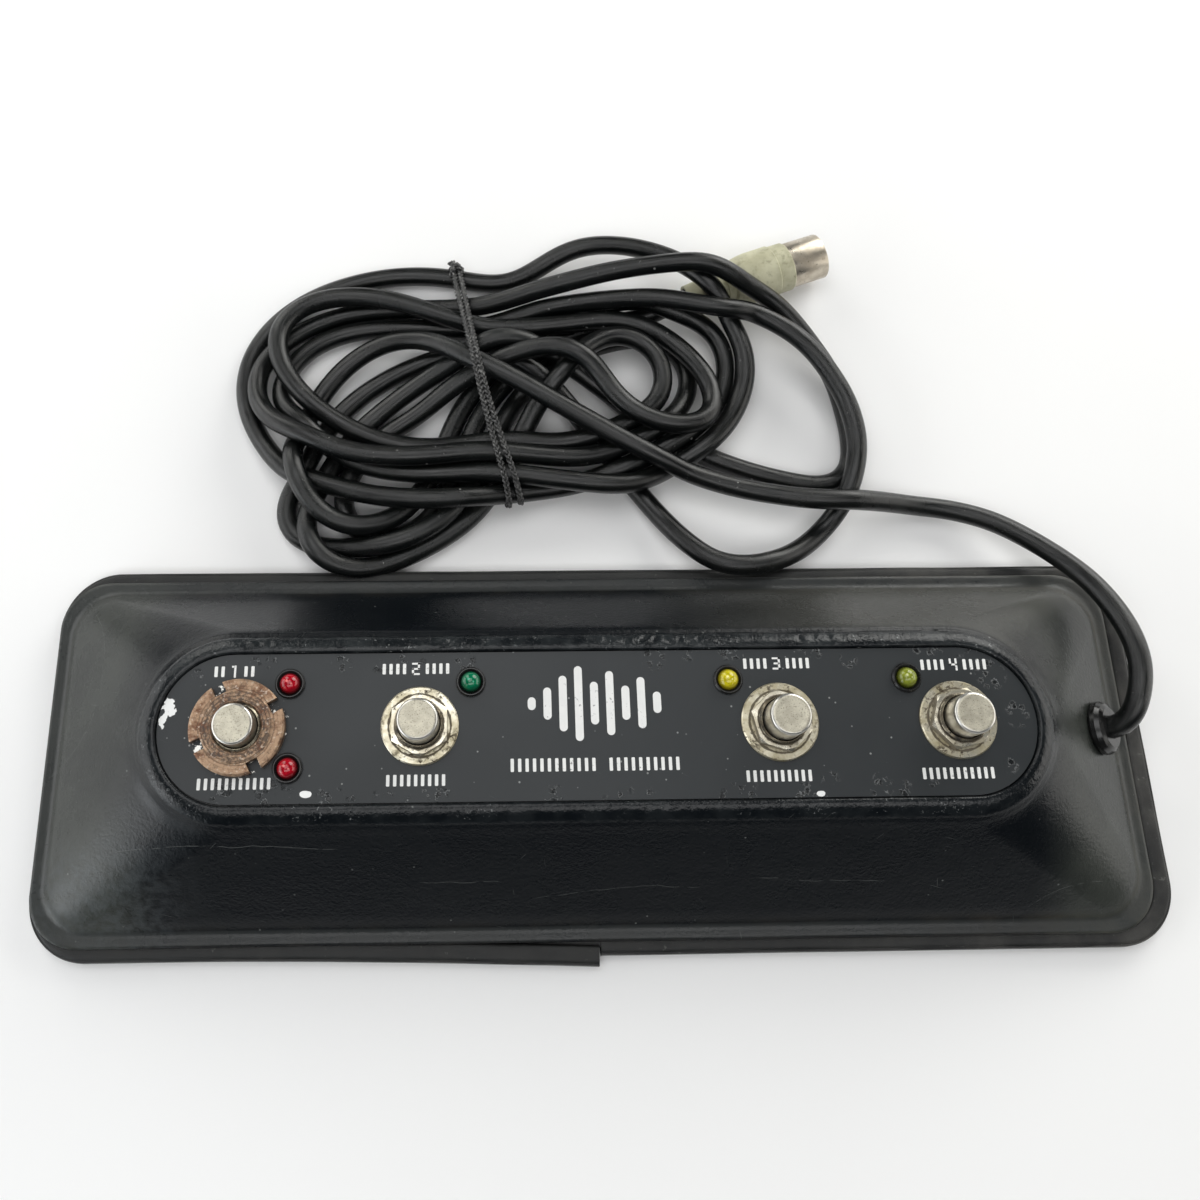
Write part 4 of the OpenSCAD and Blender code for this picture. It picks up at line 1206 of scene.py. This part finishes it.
# Middle x, y and radius of the blistered patches
BLISTER_SPOTS = [
    (91.5, 15, 4.2), (96.4, 5.5, 3.6), (57.7, 18.8, 2.4), (50.7, -9.3, 2.6), (62, -9.2, 2.0),
    (68, -11.4, 2.4), (93, -6.3, 2.2), (-78, -11.2, 4.4), (-90, -10.0, 3.2), (-97.5, 16, 2.6),
    (-79, 19.6, 2.6), (-63, 19.8, 3.2), (-54.2, 18.3, 2.0), (-34, 19.4, 3.0), (11, 19.6, 3.4),
    (30, -11.2, 3.0)]
# Chips through the label's paint: middle x, y, half widths, raggedness
LABEL_CHIPS = [
    (-103.0, 9.3, 1.6, 2.0, 0.95), (-104.3, 6.4, 0.9, 1.5, 0.9), (-70.5, -10.8, 1.45, 0.85, 0.14),
    (47.9, -12.1, 1.1, 0.65, 0.2)]


def label_paint():
    """Dark slate satin paint over pale metal, with chips, nicks, rubbed spots, and blisters with painted
    shade in each hollow and a painted highlight on each rim.
    """
    p = Paint("label_satin", specular=0.42)
    y = p.axis("Y")
    cloud = p.noise(30, 3, 0.55)
    base = p.mix(cloud, (0.0135, 0.0170, 0.0195), (0.0205, 0.0240, 0.0260))
    marks = p.times(p.most(p.scratches(25, 3, 0.09), p.scratches(-60, 2.2, 0.08, (0.5, 0.2, 0))),
                    p.step(p.noise(15, 3), 0.5, 0.7))
    base = p.mix(p.times(marks, 0.55), base, (0.16, 0.165, 0.165))
    # Clusters of small blisters in the paint, each a hollow with painted shade in it and a painted highlight
    # on its pale rim
    rims_of_label = p.most(p.step(y, -9, -10.6), p.step(y, 18.6, 20))
    clusters = p.times(p.step(p.noise(9, 3), 0.56, 0.62), rims_of_label)
    for cx, cy, size in BLISTER_SPOTS:
        clusters = p.most(clusters, p.near(cx, cy, FACE_Z, size))
    cell = p.plus(p.cells(1.9), p.times(p.plus(p.noise(0.8, 3, 0.6), -0.5), 1.0))
    broken = p.times(clusters, p.step(p.noise(2.6, 3, 0.6, shift=(0.7, 0.1, 0)), 0.38, 0.50))
    pits = p.times(p.step(cell, 0.34, 0.24), broken)
    glinting_rims = p.times(p.times(p.step(cell, 0.48, 0.40), p.step(cell, 0.30, 0.38)), broken)
    base = p.mix(p.times(pits, 0.8), base, (0.006, 0.007, 0.008))
    base = p.mix(p.times(glinting_rims, 0.8), base, (0.20, 0.21, 0.215))
    nicks = p.step(p.cells(3.4, shift=(0.1, 0.6, 0)), 0.085, 0.05)
    nicks = p.times(nicks, p.step(p.noise(14, 2), 0.46, 0.56))
    chips = 0.0
    for chip in LABEL_CHIPS:
        chips = p.most(chips, p.blob(*chip))
    # Bare metal where the ring nut has rubbed the paint away
    far = p.plan_distance(SWITCH_X[0], FACE_Y)
    far = p.plus(far, p.times(p.plus(p.noise(2.4, 4, 0.65), -0.5), 5.5))
    bare = p.times(p.step(far, 11.1, 10.7), p.step(p.noise(1.5, 3, 0.6, shift=(0.6, 0, 0)), 0.52, 0.57))
    colour = p.mix(p.times(nicks, 0.55), base, (0.42, 0.43, 0.42))
    colour = p.mix(chips, colour, (0.86, 0.87, 0.86))
    colour = p.mix(bare, colour, (0.74, 0.73, 0.69))
    p.bump(p.noise(0.5, 2), 0.012, 0.5)
    p.bump(p.noise(7, 3), 0.14, 0.35)
    p.bump(p.noise(2.2, 3, 0.6), 0.04, 0.35)
    p.bump(p.plus(glinting_rims, p.times(pits, -1.0)), 0.22, 1.0)
    p.bump(chips, -0.12, 0.8)
    rough = p.plus(p.step(cloud, 0.3, 0.7, 0.40, 0.48), p.times(p.most(pits, glinting_rims), -0.18))
    return p.done(colour, rough, bare)


def print_paint():
    """Off-white screen print, rubbed thin in places."""
    p = Paint("print_ink", specular=0.4)
    worn = p.times(p.step(p.noise(0.9, 3, 0.6), 0.60, 0.68), p.step(p.noise(6, 2), 0.45, 0.6))
    colour = p.mix(p.noise(3, 3), (0.72, 0.73, 0.72), (0.84, 0.84, 0.82))
    p.bump(p.noise(0.4, 2), 0.008, 0.5)
    colour = p.mix(p.times(worn, 0.75), colour, (0.06, 0.065, 0.07))
    return p.done(colour, p.step(worn, 0, 1, 0.5, 0.45))


def switch_distance(p):
    """Distance from the nearest switch's axis, in millimetres."""
    nearest = None
    for x in SWITCH_X:
        far = p.plan_distance(x, FACE_Y)
        nearest = far if nearest is None else p.math("MINIMUM", nearest, far)
    return nearest


def metal_paint(name, bright, dull, darkening_colour, share, rough_low, rough_high, dark_ring=None, shaded_sides=0.0):
    """Plated metal: cloudy tarnish, dirt in spots, a darker ring round the switches, and painted shade on
    upright faces.
    """
    p = Paint(name, metallic=1.0)
    cloud = p.noise(3.5, 4, 0.6)
    colour = p.mix(p.step(cloud, 0.3, 0.7), bright, dull)
    darkening = p.step(p.noise(1.1, 4, 0.65, 0.4), 0.62 - share, 0.72 - share * 0.6)
    darkening = p.times(darkening, p.step(p.noise(4.2, 2, shift=(0.2, 0.4, 0)), 0.38, 0.62))
    spots = p.step(p.cells(1.6), 0.16, 0.08)
    darkening = p.most(darkening, p.times(spots, p.step(p.noise(3, 2, shift=(0.9, 0, 0)), 0.45, 0.6)))
    if dark_ring is not None:
        inner, outer = dark_ring
        middle, half = (inner + outer) / 2, (outer - inner) / 2
        off = p.math("ABSOLUTE", p.plus(switch_distance(p), -middle))
        uneven = p.plus(p.noise(1.6, 3, 0.6, shift=(0.1, 0.7, 0)), -0.5)
        off = p.plus(off, p.times(uneven, 2.4 * half))
        darkening = p.most(darkening, p.times(p.step(off, half, half * 0.5), 0.85))
    # Painted shade: upright faces darkened by the given amount
    darkening = p.most(darkening, p.times(p.step(p.facing("Z"), 0.6, 0.3), shaded_sides))
    colour = p.mix(darkening, colour, darkening_colour)
    rough = p.plus(p.step(cloud, 0.3, 0.7, rough_low, rough_high), p.times(darkening, 0.30))
    metallic = p.step(darkening, 0, 1, 1.0, 0.35)
    p.bump(p.noise(0.25, 3, 0.6), 0.010, 0.6)
    p.bump(darkening, 0.03, 0.5)
    return p.done(colour, rough, metallic)


def ring_paint():
    """Brown-tarnished brass: copper patches, dark worn zone towards the button, dirt."""
    p = Paint("ring_brass")
    far = p.plan_distance(SWITCH_X[0], FACE_Y)
    cloud = p.noise(2.6, 5, 0.65)
    colour = p.mix(p.step(cloud, 0.36, 0.60), (0.125, 0.058, 0.032), (0.38, 0.255, 0.165))
    inner = p.step(far, 9.2, 7.4)
    rub = p.times(inner, p.step(p.noise(0.9, 4, 0.6, 0.6), 0.42, 0.6))
    colour = p.mix(p.times(rub, 0.80), colour, (0.045, 0.032, 0.025))
    turned = p.math("SINE", p.plus(p.times(far, 7.5), p.times(cloud, 9.0)))
    turned = p.times(p.step(turned, 0.2, 0.9), p.step(far, 10.4, 8.2))
    colour = p.mix(p.times(turned, 0.55), colour, (0.050, 0.032, 0.022))
    mottle = p.step(p.noise(1.5, 5, 0.7, 0.4, shift=(0.8, 0.2, 0)), 0.50, 0.66)
    colour = p.mix(p.times(mottle, 0.60), colour, (0.060, 0.042, 0.030))
    pale = p.step(p.noise(0.8, 3, 0.6, shift=(0.3, 0, 0)), 0.57, 0.68)
    colour = p.mix(p.times(pale, 0.6), colour, (0.55, 0.46, 0.37))
    p.bump(p.noise(0.45, 4, 0.6), 0.05, 0.9)
    p.bump(turned, -0.05, 0.7)
    p.bump(cloud, 0.10, 0.7)
    return p.done(colour, p.step(cloud, 0.3, 0.7, 0.32, 0.52), p.step(rub, 0, 1, 0.72, 0.35))


def button_paint():
    """Dull nickel, finely pitted on its pressed face, bright round the edge, brushed on the side."""
    p = Paint("button_nickel", metallic=1.0)
    face = p.step(p.facing("Z"), 0.90, 0.985)
    cloud = p.noise(2.2, 4, 0.6)
    pits = p.times(p.step(p.noise(0.36, 3, 0.6), 0.56, 0.66), face)
    base = p.mix(p.step(cloud, 0.35, 0.65), (0.46, 0.43, 0.35), (0.58, 0.55, 0.45))
    side = p.mix(p.noise(1.0, 3, stretch=(1, 1, 6)), (0.52, 0.50, 0.45), (0.72, 0.71, 0.67))
    colour = p.mix(face, side, base)
    colour = p.mix(p.times(pits, 0.6), colour, (0.16, 0.14, 0.11))
    rough = p.plus(p.step(face, 0, 1, 0.24, 0.46), p.times(cloud, 0.10))
    p.bump(p.noise(0.30, 3, 0.6), 0.014, 0.7)
    p.bump(p.noise(0.25, 2, stretch=(1, 1, 8)), 0.006, 0.5)
    return p.done(colour, rough)


def rubber_paint(name, dark, pale, rough, dusty):
    """Black rubber drawn lengthwise: fine lines along it and dust that clings to it."""
    p = Paint(name, specular=0.35)
    lines = p.noise(9, 3, 0.6, uv=True, stretch=(1, 14, 1))
    cloud = p.noise(11, 4, 0.6)
    dust = p.times(p.step(cloud, 0.35, 0.75), p.step(p.axis("X"), 40, 125, 0.25 * dusty, dusty))
    scuff = p.step(p.noise(0.8, 3, 0.6, stretch=(0.5, 0.5, 1)), 0.64, 0.72)
    scuff = p.times(scuff, p.step(p.noise(16, 2), 0.48, 0.6))
    colour = p.mix(p.plus(dust, p.times(lines, dusty * 0.3)), dark, pale)
    colour = p.mix(p.times(scuff, 0.45), colour, (0.16, 0.16, 0.15))
    p.bump(lines, 0.10, 0.45)
    p.bump(p.noise(0.5, 2), 0.02, 0.6)
    rough = p.step(cloud, 0.3, 0.7, rough, rough + 0.12)
    return p.done(colour, p.plus(rough, p.times(scuff, 0.2)))


def cable_paint():
    """Half-gloss black jacket with dusty stretches, rubbed lines and pale scuffs."""
    p = Paint("cable_jacket", specular=0.48)
    lines = p.noise(3.2, 3, 0.6, uv=True, stretch=(0.35, 3, 1))
    cloud = p.noise(14, 4, 0.6)
    dust = p.step(p.noise(30, 4, 0.65, shift=(0.2, 0.1, 0)), 0.42, 0.72)
    dust = p.times(dust, p.step(p.facing("Z"), -0.2, 0.9))
    colour = p.mix(p.times(dust, 0.5), (0.0012, 0.0018, 0.0021), (0.010, 0.0125, 0.012))
    rub = p.step(p.noise(7, 4, 0.65, uv=True, stretch=(0.22, 1.6, 1)), 0.52, 0.68)
    rub = p.times(rub, p.step(p.facing("Z"), 0.3, 0.95))
    colour = p.mix(p.times(rub, 0.30), colour, (0.100, 0.096, 0.076))
    colour = p.mix(p.times(p.step(lines, 0.58, 0.70), 0.38), colour, (0.075, 0.074, 0.068))
    scuff = p.step(p.noise(0.9, 4, 0.65, 0.5), 0.66, 0.72)
    scuff = p.times(scuff, p.step(p.noise(24, 2, shift=(0.5, 0, 0)), 0.54, 0.62))
    nick = p.times(p.step(p.cells(5.5), 0.07, 0.045), p.step(p.noise(26, 2), 0.5, 0.6))
    colour = p.mix(p.times(p.most(scuff, nick), 0.6), colour, (0.30, 0.30, 0.29))
    rough = p.plus(p.step(cloud, 0.3, 0.7, 0.16, 0.28), p.times(dust, 0.06))
    p.bump(lines, 0.05, 0.6)
    p.bump(p.noise(0.45, 2), 0.012, 0.6)
    p.bump(p.noise(6, 2), 0.16, 0.45)
    return p.done(colour, p.plus(rough, p.times(scuff, 0.2)))


def braid_paint():
    """Black braided thread: fine twisted fibres along each strand, and pale flecks as painted glints."""
    p = Paint("tie_braid", specular=1.0)
    twist = p.noise(0.55, 2, uv=True, stretch=(0.6, 8, 1))
    fuzz = p.noise(0.18, 2)
    colour = p.mix(twist, (0.002, 0.002, 0.002), (0.016, 0.016, 0.016))
    # Painted glints: pale flecks on the braid
    pale = p.times(p.step(p.noise(0.9, 3), 0.54, 0.64), 0.55)
    colour = p.mix(pale, colour, (0.21, 0.21, 0.20))
    p.bump(twist, 0.12, 0.8)
    p.bump(fuzz, 0.03, 0.6)
    return p.done(colour, p.step(twist, 0.3, 0.7, 0.16, 0.40))


def lens_paint(name, deep, bright, glow):
    """Tinted lamp: a dark rim of painted shade, a lit body of painted light, and pale spots of the chip cup
    painted as sparkle under the dome.
    """
    p = Paint(name, specular=0.45, coat=0.25, coat_rough=0.04, rough=0.12)
    # Painted light: bright in the middle, with painted shade towards the rim
    body = p.mix(p.step(p.plan_distance(0, 0), 2.45, 1.55), deep, bright)
    body = p.mix(p.times(p.step(p.noise(1.3, 3, 0.6), 0.42, 0.62), 0.40), body, deep)
    # Painted glints: two pale spots where the chip cup sits
    cup = p.most(p.dot(-0.50, 0.35, 0.42), p.dot(0.62, -0.30, 0.30))
    colour = p.mix(p.times(cup, 0.75), body, glow)
    colour = p.mix(p.step(p.axis("Z"), 30, 29), colour, deep)
    p.bump(p.noise(1.4, 2), 0.03, 0.3)
    return p.done(colour)


def plain_paint(name, dark, pale, size, rough, depth=0.02):
    """Two shades clouded together, with a fine grain, for parts seen little."""
    p = Paint(name)
    cloud = p.noise(size, 4, 0.6)
    marks = p.times(p.scratches(30, 3, 0.12), p.step(p.noise(9, 2), 0.45, 0.6))
    colour = p.mix(cloud, dark, pale)
    colour = p.mix(p.times(marks, 0.4), colour, tuple(min(1, 1.6 * v + 0.03) for v in pale))
    p.bump(p.noise(size / 12, 3, 0.6), depth, 0.6)
    return p.done(colour, p.step(cloud, 0.3, 0.7, rough - 0.05, rough + 0.08))


def boot_paint():
    """Aged beige-green moulding with dirt between its ribs."""
    p = Paint("boot_plastic", specular=0.45)
    cloud = p.noise(7, 4, 0.6)
    colour = p.mix(p.step(cloud, 0.3, 0.7), (0.40, 0.385, 0.255), (0.56, 0.545, 0.385))
    darkening = p.times(p.step(p.noise(2.2, 4, 0.65, 0.3), 0.52, 0.70), 0.55)
    colour = p.mix(darkening, colour, (0.19, 0.18, 0.11))
    pale = p.times(p.most(p.scratches(5, 3.5, 0.14), p.scratches(-50, 3, 0.14, (0.4, 0.2, 0))), 0.6)
    colour = p.mix(pale, colour, (0.50, 0.50, 0.44))
    p.bump(p.noise(0.5, 3), 0.02, 0.6)
    p.bump(cloud, 0.10, 0.4)
    return p.done(colour, p.step(cloud, 0.3, 0.7, 0.42, 0.56))


def coat(node, material):
    """Gives a CAD node one material."""
    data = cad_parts[node].data
    data.materials.clear()
    data.materials.append(material)


def dress(obj, material):
    """Gives a piece made here one material."""
    obj.data.materials.clear()
    obj.data.materials.append(material)


LENS_COLOURS = {
    "lamp_red": ((0.060, 0.001, 0.003), (0.42, 0.003, 0.014), (0.95, 0.30, 0.28)),
    "lamp_green": ((0.001, 0.022, 0.010), (0.002, 0.17, 0.075), (0.12, 0.50, 0.32)),
    "lamp_yellow": ((0.15, 0.12, 0.003), (0.58, 0.50, 0.010), (0.95, 0.90, 0.35)),
    "lamp_olive": ((0.055, 0.065, 0.005), (0.24, 0.28, 0.030), (0.60, 0.65, 0.28))}
# CAD nodes of plastic, rubber or glass: material, two shades, size of the clouds, roughness, grain depth
PLAIN_NODES = {
    "base_plate": ("base_paint", (0.018, 0.018, 0.019), (0.035, 0.035, 0.035), 14, 0.5),
    "lamp_holders": ("holder_plastic", (0.006, 0.006, 0.006), (0.014, 0.014, 0.014), 2, 0.28),
    "circuit_board": ("board_mask", (0.018, 0.085, 0.030), (0.034, 0.150, 0.055), 10, 0.4),
    "board_resistors": ("resistor_lacquer", (0.42, 0.28, 0.12), (0.56, 0.40, 0.20), 2, 0.42),
    "board_diodes": ("diode_glass", (0.16, 0.02, 0.01), (0.30, 0.06, 0.02), 2, 0.2),
    "cable_cores": ("core_plastic", (0.50, 0.30, 0.03), (0.66, 0.44, 0.08), 3, 0.45),
    "cable_grommet": ("grommet_rubber", (0.004, 0.004, 0.004), (0.011, 0.011, 0.011), 3, 0.20, 0.03),
    "plug_insert": ("insert_plastic", (0.014, 0.014, 0.014), (0.028, 0.028, 0.028), 3, 0.45)}
# Metals: bright and dull shade, colour of the darkening (dirt, and painted shade on upright faces) and share
# of dirt, roughness from and to
METALS = {
    "screw_steel": ((0.50, 0.50, 0.49), (0.36, 0.35, 0.33), (0.09, 0.07, 0.05), 0.02, 0.3, 0.45),
    "washer_nickel": ((0.72, 0.68, 0.555), (0.47, 0.42, 0.285), (0.060, 0.042, 0.022), 0.14, 0.30, 0.46),
    "nut_nickel": ((0.74, 0.70, 0.59), (0.54, 0.49, 0.37), (0.075, 0.053, 0.028), 0.08, 0.24, 0.40),
    "barrel_nickel": ((0.30, 0.27, 0.205), (0.12, 0.10, 0.07), (0.012, 0.010, 0.008), 0.20, 0.18, 0.34),
    "spring_steel": ((0.55, 0.55, 0.54), (0.45, 0.45, 0.44), (0.14, 0.12, 0.10), 0.0, 0.28, 0.4),
    "terminal_tin": ((0.66, 0.64, 0.58), (0.50, 0.48, 0.42), (0.20, 0.17, 0.12), 0.0, 0.35, 0.5),
    "collar_metal": ((0.62, 0.61, 0.60), (0.5, 0.5, 0.48), (0.2, 0.19, 0.17), 0.0, 0.3, 0.45),
    "sleeve_nickel": ((0.60, 0.545, 0.455), (0.44, 0.385, 0.305), (0.16, 0.13, 0.09), 0.02, 0.26, 0.44),
    "pin_metal": ((0.70, 0.66, 0.52), (0.55, 0.50, 0.36), (0.2, 0.16, 0.1), 0.0, 0.25, 0.4)}
# Darker rings round the switches at these distances, and painted shade on upright faces
DARK_RINGS_AND_SHADED_SIDES = {
    "washer_nickel": {"dark_ring": (6.9, 7.6), "shaded_sides": 0.5},
    "nut_nickel": {"dark_ring": (5.2, 6.0), "shaded_sides": 0.7}}

dress(cable, cable_paint())
dress(tie, braid_paint())
dress(shell, shell_paint())
dress(trim, rubber_paint("trim_rubber", (0.004, 0.005, 0.0055), (0.060, 0.058, 0.053), 0.36, 0.75))
dress(prints, print_paint())
nickel = button_paint()
for cap in buttons:
    dress(cap, nickel)
lens_materials = {slot: lens_paint(slot, *colours) for slot, colours in LENS_COLOURS.items()}
for lens, slot in zip(lenses, LAMP_SLOTS):
    dress(lens, lens_materials[slot])
metals = {name: metal_paint(name, *look, **DARK_RINGS_AND_SHADED_SIDES.get(name, {})) for name, look in METALS.items()}
for coil in springs:
    dress(coil, metals["spring_steel"])
dress(sleeve, metals["sleeve_nickel"])

coat("label_plate", label_paint())
coat("ring_nut", ring_paint())
coat("plug_boot", boot_paint())
for node, look in PLAIN_NODES.items():
    coat(node, plain_paint(*look))
coat("base_screws", metals["screw_steel"])
coat("flat_washers", metals["washer_nickel"])
for node in ("hex_nuts", "lock_nuts", "lock_washers"):
    coat(node, metals["nut_nickel"])
coat("crimp_collar", metals["collar_metal"])
coat("plug_pins", metals["pin_metal"])
cases = plain_paint("case_plastic", (0.022, 0.016, 0.013), (0.040, 0.030, 0.024), 5, 0.5)
for n in range(1, 5):
    coat(f"barrel_{n}", metals["barrel_nickel"])
    coat(f"switch_case_{n}", cases)
    coat(f"terminals_{n}", metals["terminal_tin"])

# ---- floor and light


# Soft panels: name, place, aim, width and height in metres, watts, tint
PANELS = [
    ("top_panel", (-0.17, 0.24, 1.1), (-0.05, 0.05, 0), (0.85, 0.72), 4.4, (1, 1, 1)),
    ("near_panel", (0.05, -0.5, 0.95), (0, -0.12, 0), (1.2, 0.4), 3.7, (1, 1, 1)),
    ("back_panel_right", (0.56, 0.80, 0.42), (0.05, 0.03, 0), (0.6, 0.6), 5.6, (1, 0.995, 0.96)),
    ("back_panel_left", (-0.52, 0.80, 0.42), (-0.05, 0.03, 0), (0.4, 0.6), 2.2, (1, 0.995, 0.96)),
    ("left_panel", (-0.85, -0.02, 0.27), (0, 0, 0.02), (1.3, 0.5), 4.5, (1, 1, 1)),
    ("corner_panel", (-0.48, -0.33, 0.10), (-0.1, -0.03, 0.02), (0.4, 0.18), 0.5, (0.88, 0.95, 1)),
    ("right_panel", (0.92, 0.12, 0.27), (0, 0, 0.02), (1.0, 0.5), 3.3, (1, 0.98, 0.94))]
SKY_COLOUR = (0.88, 0.95, 1, 1)
SKY_STRENGTH = 0.06
FLOOR_HALF = 3


def area_light(name, at, towards, size, watts, colour):
    """Rectangular lamp that the camera doesn't see."""
    data = bpy.data.lights.new(name, "AREA")
    data.shape = "RECTANGLE"
    data.size, data.size_y = size
    data.energy = watts
    data.color = colour
    obj = bpy.data.objects.new(name, data)
    obj.location = at
    obj.rotation_euler = (Vector(towards) - Vector(at)).to_track_quat("-Z", "Y").to_euler()
    obj.visible_camera = False
    bpy.context.scene.collection.objects.link(obj)


def make_floor():
    """Plain pale paper under everything."""
    corners = [(x * FLOOR_HALF, y * FLOOR_HALF, 0) for x, y in ((-1, -1), (1, -1), (1, 1), (-1, 1))]
    floor = new_mesh("floor", corners, [(0, 1, 2, 3)])
    p = Paint("floor_paper", specular=0.2)
    colour = p.mix(p.noise(120, 3), (0.90, 0.90, 0.90), (0.93, 0.93, 0.925))
    p.bump(p.noise(0.8, 3), 0.02, 0.3)
    dress(floor, p.done(colour, 0.8))


def make_light():
    """Dim sky and soft panels all round."""
    world = bpy.data.worlds.new("studio")
    world.use_nodes = True
    sky = world.node_tree.nodes["Background"]
    sky.inputs["Color"].default_value = SKY_COLOUR
    sky.inputs["Strength"].default_value = SKY_STRENGTH
    bpy.context.scene.world = world
    for panel in PANELS:
        area_light(*panel)
    bpy.context.scene.view_settings.view_transform = "Standard"


make_floor()
make_light()
